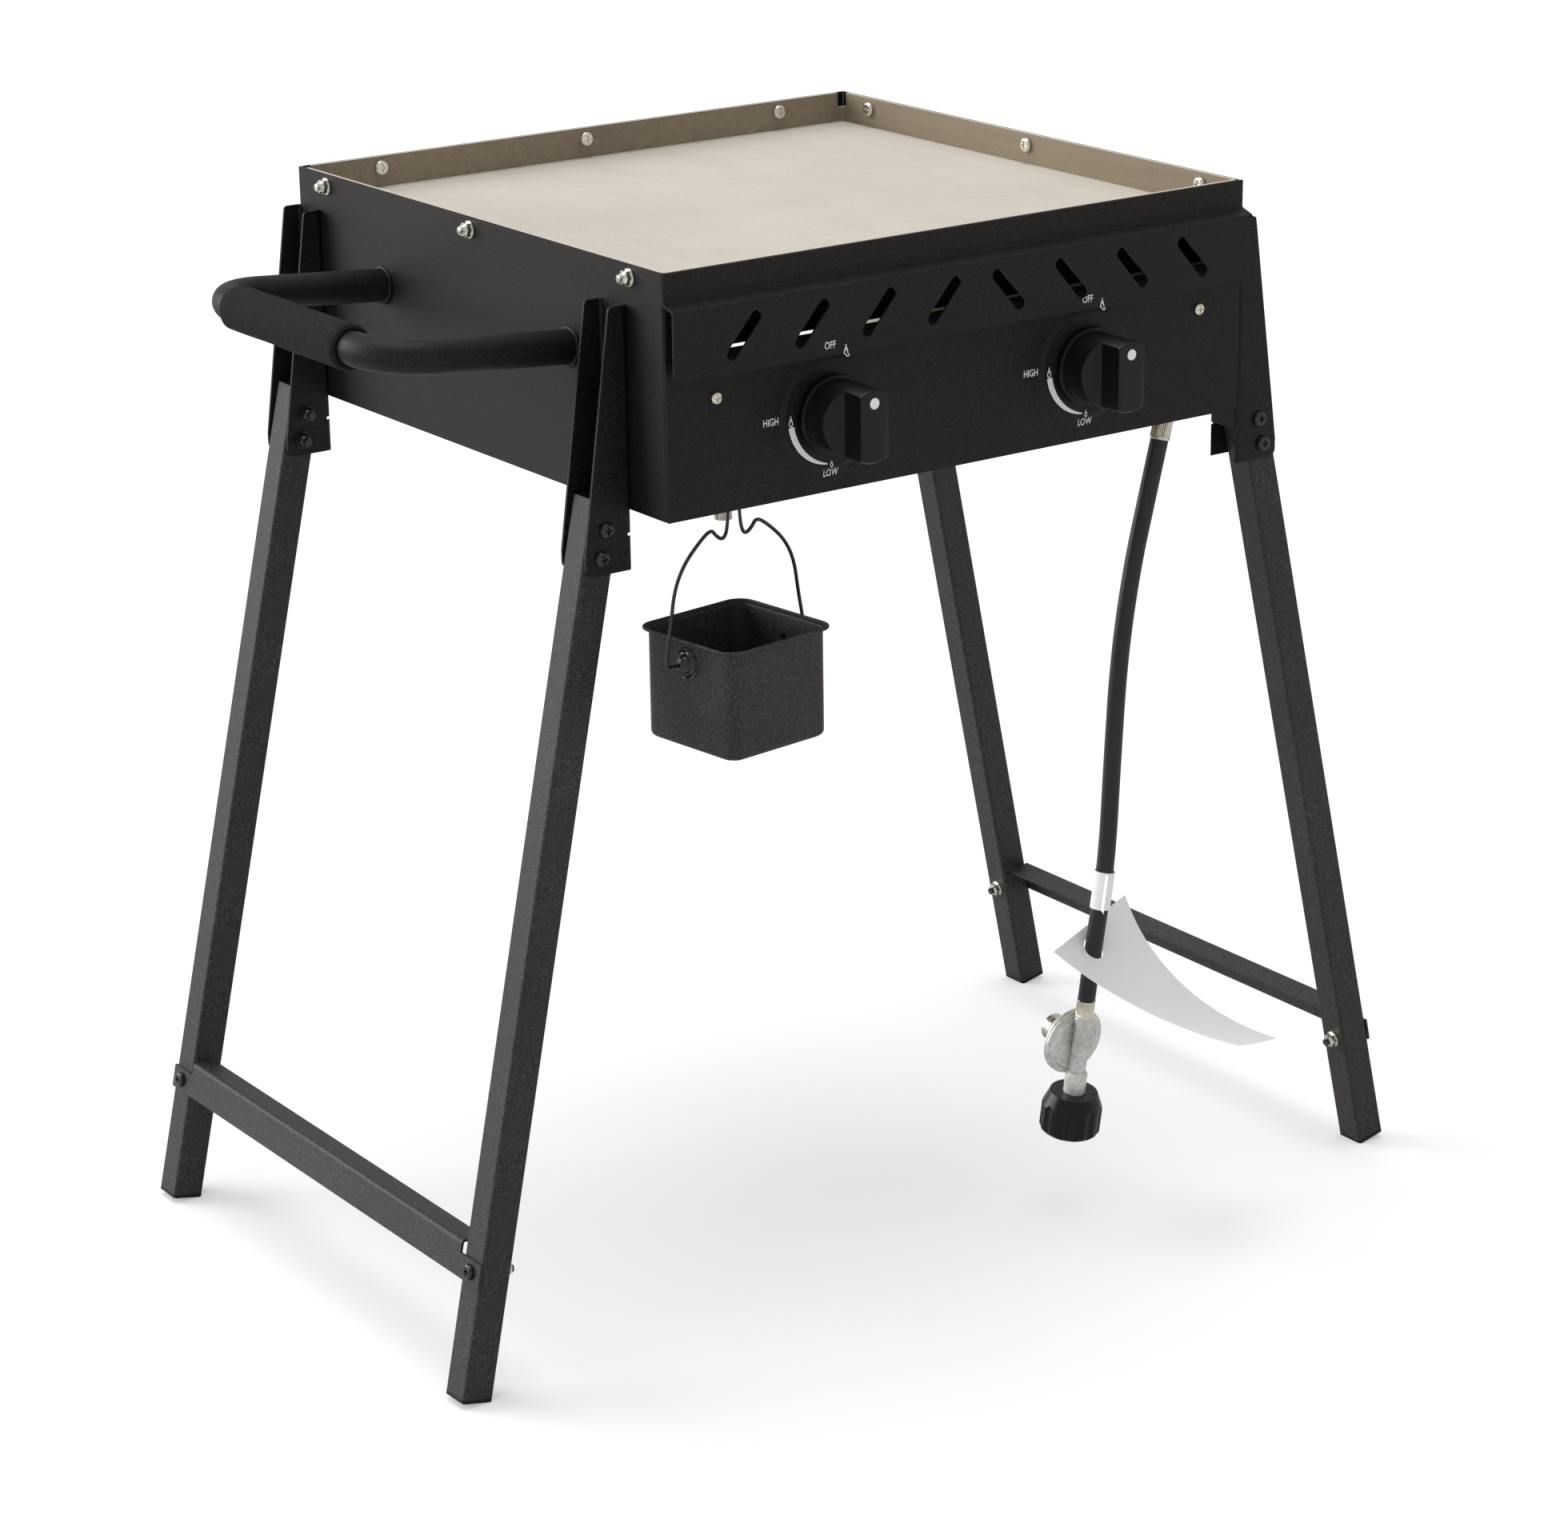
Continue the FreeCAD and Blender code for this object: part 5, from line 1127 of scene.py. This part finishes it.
def make_bail(sizes, ear_height, top):
    """Bent wire: arms from the ears, shoulders with a dip each, and the loop that hangs on the hook."""
    shoulder = [(0.0605, 0.030), (0.057, 0.054), (0.048, 0.071), (0.034, 0.084), (0.0215, 0.0925)]
    dip = [(0.0165, 0.086), (0.0105, 0.0825), (0.0065, 0.088)]
    half = [(0.0435, 0), (0.063, 0), (0.066, 0.003), *shoulder, *dip]
    half = [(x, ear_height + rise) for x, rise in half] + [(0.005, top - 0.006), (0.0035, top)]
    points = half + [(-x, z) for x, z in reversed(half)]
    bail = smooth_curve("wire_bail", [(x, 0, z) for x, z in points], 10)
    curve = bail.data
    # The wire is thinner in the ears and on the hook
    thin_ends = (0, 1, len(half) - 2, len(half) - 1)
    for i, point in enumerate(curve.splines[0].points):
        point.radius = 0.8 if min(i, len(points) - 1 - i) in thin_ends else 1.0
    curve.bevel_depth = sizes.wire_radius
    curve.bevel_resolution = 5
    curve.use_fill_caps = True
    choose(bail)
    bpy.ops.object.convert(target="MESH")
    return bpy.context.object


def make_ears(sizes, half, ear_height):
    """Rosettes on both sides of the bucket, each with a raised rim and a dome with a bore for the wire."""
    radius = sizes.ear_radius
    dome, height = sizes.ear_dome
    bore = 1.35 * sizes.wire_radius
    rings = [(bore, 0), (radius, 0), (radius, 0.0007), (radius - 0.0005, 0.0012), (radius - 0.0016, 0.0007)]
    rings += [(dome + 0.0012, 0.0009), (dome + 0.0003, 0.0014)]
    rings += [(dome * across, height * along) for across, along in arc((0, 0), 1, 14, 74, 8)]
    rings.append((bore, height))
    ears = []
    for way in (-1, 1):
        ear = turned("ear", rings, 48, hollow=True)
        ears.append(settle(ear, Matrix.Translation((way * half, 0, ear_height))
                           @ Matrix.Rotation(way * math.pi / 2, 4, "Y")))
    return joined("dished_ears", ears)


class GRIDDLE_OT_bucket(bpy.types.Operator):
    """Model the grease bucket, its dished ears and its wire bail"""

    bl_idname = "griddle.bucket"
    bl_label = "Grease bucket"

    def execute(self, context):
        sizes = context.scene.griddle.bucket
        low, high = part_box("grease_bucket")
        rounded = sizes.corner_radius + sizes.lip
        reach = (high.x - low.x) / 2
        half = (reach - rounded) / (math.cos(sizes.turn) + math.sin(sizes.turn)) + rounded
        wall = half - sizes.lip
        ear_height = joint_point("bucket_swing").z
        bucket = settle(make_bucket(sizes, half, high.z - low.z), Matrix.Translation((0, 0, low.z)))
        bore = 1.4 * sizes.wire_radius
        hole = turned("hole", [(bore, -2 * half), (bore, 2 * half)], 24)
        settle(hole, Matrix.Translation((0, 0, ear_height)) @ Matrix.Rotation(math.pi / 2, 4, "Y"))
        cut(bucket, hole)
        ears = make_ears(sizes, wall, ear_height)
        bail = make_bail(sizes, ear_height, joint_point("bail_swing").z)
        pieces = [(bucket, "bucket", "grease_bucket"), (ears, "bucket", "bucket_ears"),
                  (bail, "bail", "bucket_bail")]
        for piece, body, node in pieces:
            settle(piece, bail_frame())
            # The bucket takes the lighter copy of the coat, which is painted light
            finish = "stand_coat" if piece is bucket else "black_fastener"
            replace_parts(finish_piece(smooth(piece, 35), body, "black_coat", finish), node)
        return {"FINISHED"}


# Regulator

def make_housing(radius, face):
    """Round casting with a grooved rim and a sunk face, which looks to the front."""
    groove = radius - 0.0009
    rings = [(0.0150, -0.014), (0.0245, -0.003), (radius - 0.0004, -0.0024), (radius, -0.0019)]
    rings += [(radius, -0.0008), (groove, -0.0005), (groove, 0.0003), (radius, 0.0006), (radius, 0.0016)]
    rings += [(radius - 0.0005, 0.0021), (face + 0.0026, 0.0022), (face + 0.0022, 0.0032)]
    rings += [(face + 0.0006, 0.0034), (face, 0.0044), (face - 0.0007, 0.005), (face - 0.0028, 0.005)]
    rings += [(face - 0.0036, 0.0044), (0.004, 0.0040)]
    return settle(turned("housing", rings, 96), Matrix.Rotation(math.pi / 2, 4, "X"))


def make_regulator(sizes):
    """Round housing, the gas passage across its face, the neck below it, and a web hidden in the housing."""
    pipe = sizes.pipe_radius
    rings = [(pipe - 0.0006, -0.026), (pipe + 0.0006, -0.018), (pipe, -0.006), (pipe, 0.018)]
    rings += [(pipe + 0.0008, 0.0205), (pipe + 0.0008, 0.0249), (pipe + 0.0003, PASSAGE_TOP)]
    passage = turned("passage", rings, 64)
    neck = sizes.neck_radius
    foot = (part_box("regulator_body")[0] - regulator_matrix().translation).z
    rings = [(neck - 0.0006, foot + 0.0035), (neck, foot + 0.0041), (neck, -0.0245)]
    rings += [(neck - 0.0008, -0.0232), (neck - 0.0016, -0.0222)]
    throat = turned("throat", rings, 64)
    for piece in (passage, throat):
        settle(piece, Matrix.Translation((0, -PASSAGE_FRONT, 0)))
    deselect()
    bpy.ops.mesh.primitive_cube_add(size=1, location=(0, 0, 0))
    web = settle(bpy.context.object, Matrix.Diagonal((0.0062, 0.007, 0.042, 1)))
    with_modifier(web, "BEVEL", width=0.0015, segments=3)
    housing = make_housing(sizes.radius, sizes.face_radius)
    return joined("cast_regulator", [housing, passage, throat, web])


def make_vent_cap():
    """Cap on the housing's back, with two grooves round it and an eased edge."""
    radius = 0.0110
    groove = radius - 0.0006
    rings = [(radius, 0.0141)]
    for start in (0.0170, 0.0214):
        rings += [(radius, start), (groove, start + 0.0004)]
        rings += [(groove, start + 0.0012), (radius, start + 0.0016)]
    rings += [(radius, 0.0258), (radius - 0.0008, 0.0268), (0.0060, 0.0270)]
    return turned("banded_cap", rings, 72)


class GRIDDLE_OT_regulator(bpy.types.Operator):
    """Model the die-cast regulator and its vent cap"""

    bl_idname = "griddle.regulator"
    bl_label = "Regulator"

    def execute(self, context):
        regulator = make_regulator(context.scene.griddle.regulator)
        settle(regulator, regulator_matrix())
        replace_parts(finish_piece(smooth(regulator, 28), "root", "die_cast_zinc"), "regulator_body")
        cap = settle(make_vent_cap(), regulator_matrix() @ Matrix.Rotation(-math.pi / 2, 4, "X"))
        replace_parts(finish_piece(smooth(cap, 28), "root", "nickel"), "regulator_cap")
        return {"FINISHED"}


# Bolt ends

def make_bolt_end(length, radius):
    """Threaded end with a rounded tip, from 0 outward."""
    pitch = 0.0010
    tip = 0.0012
    rings = [(radius + 0.0001, 0)]
    for i in range(int((length - tip) / pitch)):
        rings += [(radius + 0.0002, (i + 0.35) * pitch), (radius - 0.0003, (i + 0.85) * pitch)]
    rings += [(radius, length - 0.0010), (0.8 * radius, length - 0.0003), (0.4 * radius, length)]
    return turned("bolt_end", rings, 40)


class GRIDDLE_OT_bolts(bpy.types.Operator):
    """Model the threaded ends that stand out of the rim nuts on both sides"""

    bl_idname = "griddle.bolts"
    bl_label = "Bolt ends"

    def execute(self, context):
        nut_height = 0.005
        bolt_drop = 0.009
        bolt_spacing = 0.208
        thread_radius = 0.003
        past_bolt = 0.0004
        nut_face = nut_height - SIDE_LOW.x
        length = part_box("rim_bolts")[1].x + past_bolt - nut_face
        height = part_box("griddle_plate")[1].z - bolt_drop
        ends = []
        for way in (-1, 1):
            for row in (-bolt_spacing, 0, bolt_spacing):
                spot = Matrix.Translation((way * nut_face, MIDDLE_Y + row, height))
                turn = Matrix.Rotation(way * math.pi / 2, 4, "Y")
                ends.append(settle(make_bolt_end(length, thread_radius), spot @ turn))
        finish_piece(smooth(joined("threaded_ends", ends), 25), "root", "zinc_fastener")
        return {"FINISHED"}


# Carrying handle

def make_grip():
    """Foam sleeve with blunt rounded ends, a little uneven, as foam is."""
    low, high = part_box("handle_grip")
    radius = (high.x - low.x) / 2
    half = (high.y - low.y) / 2
    bore = 0.0126
    blunt = 0.003
    dent = 0.00018
    steps = 24
    end = [(bore, half - 0.001), (radius - blunt, half)]
    end += [(radius - 0.0009, half - 0.0008), (radius, half - blunt)]
    rings = [(across, -along) for across, along in end]
    rings += [(radius, (half - blunt) * (2 * i / steps - 1)) for i in range(1, steps)]
    grip = turned("foam_grip", rings + end[::-1], 72, hollow=True)

    def uneven(point):
        across = Vector((point.x, point.y, 0))
        if across.length < radius - 0.002:
            return point
        angle = math.atan2(point.y, point.x)
        wave = math.sin(3 * angle + 40 * point.z) + math.sin(5 * angle - 95 * point.z)
        return point - across.normalized() * (dent * (wave + 2))

    reshape(grip, uneven)
    return settle(grip, Matrix.Translation((low + high) / 2) @ Matrix.Rotation(math.radians(-90), 4, "X"))


def make_root_bead(row, height, way):
    """Weld bead round one root of the handle."""
    radius = 0.0128
    swell = 0.0016
    inner = radius - 0.0002
    steps = 9
    rings = []
    for i in range(steps + 1):
        turn = math.pi * i / steps
        rings.append((radius + swell * math.sin(turn) + 0.0002, 0.0012 - 0.0014 * math.cos(turn)))
    bead = turned("bead", [*rings, (inner, 0.0026), (inner, -0.0002)], 72, hollow=True)

    def ripple(point):
        angle = math.atan2(point.y, point.x)
        outer = max(0.0, Vector((point.x, point.y)).length - radius)
        return point * (1 + 0.0072 * outer / swell * math.sin(26 * angle))

    reshape(bead, ripple)
    return settle(bead, Matrix.Translation((SIDE_LOW.x, row, height)) @ turn_to(way))


class GRIDDLE_OT_handle(bpy.types.Operator):
    """Model the foam grip and the weld beads at the handle's roots"""

    bl_idname = "griddle.handle"
    bl_label = "Carrying handle"

    def execute(self, context):
        root_spacing = 0.258
        root_drop = 0.072
        reach = 0.148
        rise = 0.012
        grip = make_grip()
        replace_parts(finish_piece(smooth(grip, 50), "root", "grip_foam"), "handle_grip")
        way = Vector((-reach, 0, rise)).normalized()
        rows = [MIDDLE_Y + side * root_spacing / 2 for side in (-1, 1)]
        beads = [make_root_bead(row, SIDE_HIGH.z - root_drop, way) for row in rows]
        finish_piece(smooth(joined("handle_root_beads", beads), 60), "root", "black_coat")
        return {"FINISHED"}


# Sidebar

OPERATORS = [GRIDDLE_OT_stage, GRIDDLE_OT_finishes, GRIDDLE_OT_regulator, GRIDDLE_OT_hose, GRIDDLE_OT_knobs,
             GRIDDLE_OT_marks, GRIDDLE_OT_bucket, GRIDDLE_OT_bolts, GRIDDLE_OT_handle]


class GRIDDLE_PT_panel(bpy.types.Panel):
    """Panel that lists the griddle's steps"""

    bl_label = "Griddle"
    bl_idname = "GRIDDLE_PT_panel"
    bl_space_type = "VIEW_3D"
    bl_region_type = "UI"
    bl_category = "Griddle"

    def draw(self, context):
        for operator in OPERATORS:
            self.layout.operator(operator.bl_idname)


SETTINGS = [FinishSettings, ControlSettings, HoseSettings, BucketSettings, RegulatorSettings, StageSettings,
            GriddleSettings]


def register():
    for item in [*SETTINGS, *OPERATORS, GRIDDLE_PT_panel]:
        bpy.utils.register_class(item)
    bpy.types.Scene.griddle = PointerProperty(type=GriddleSettings)


def unregister():
    del bpy.types.Scene.griddle
    for item in reversed([*SETTINGS, *OPERATORS, GRIDDLE_PT_panel]):
        bpy.utils.unregister_class(item)


def main():
    register()
    deselect()
    bpy.ops.griddle.stage()
    bpy.ops.griddle.finishes()
    bpy.ops.griddle.regulator()
    bpy.ops.griddle.hose()
    bpy.ops.griddle.knobs()
    bpy.ops.griddle.marks()
    bpy.ops.griddle.bucket()
    bpy.ops.griddle.bolts()
    bpy.ops.griddle.handle()
    deselect()


if __name__ == "__main__":
    main()
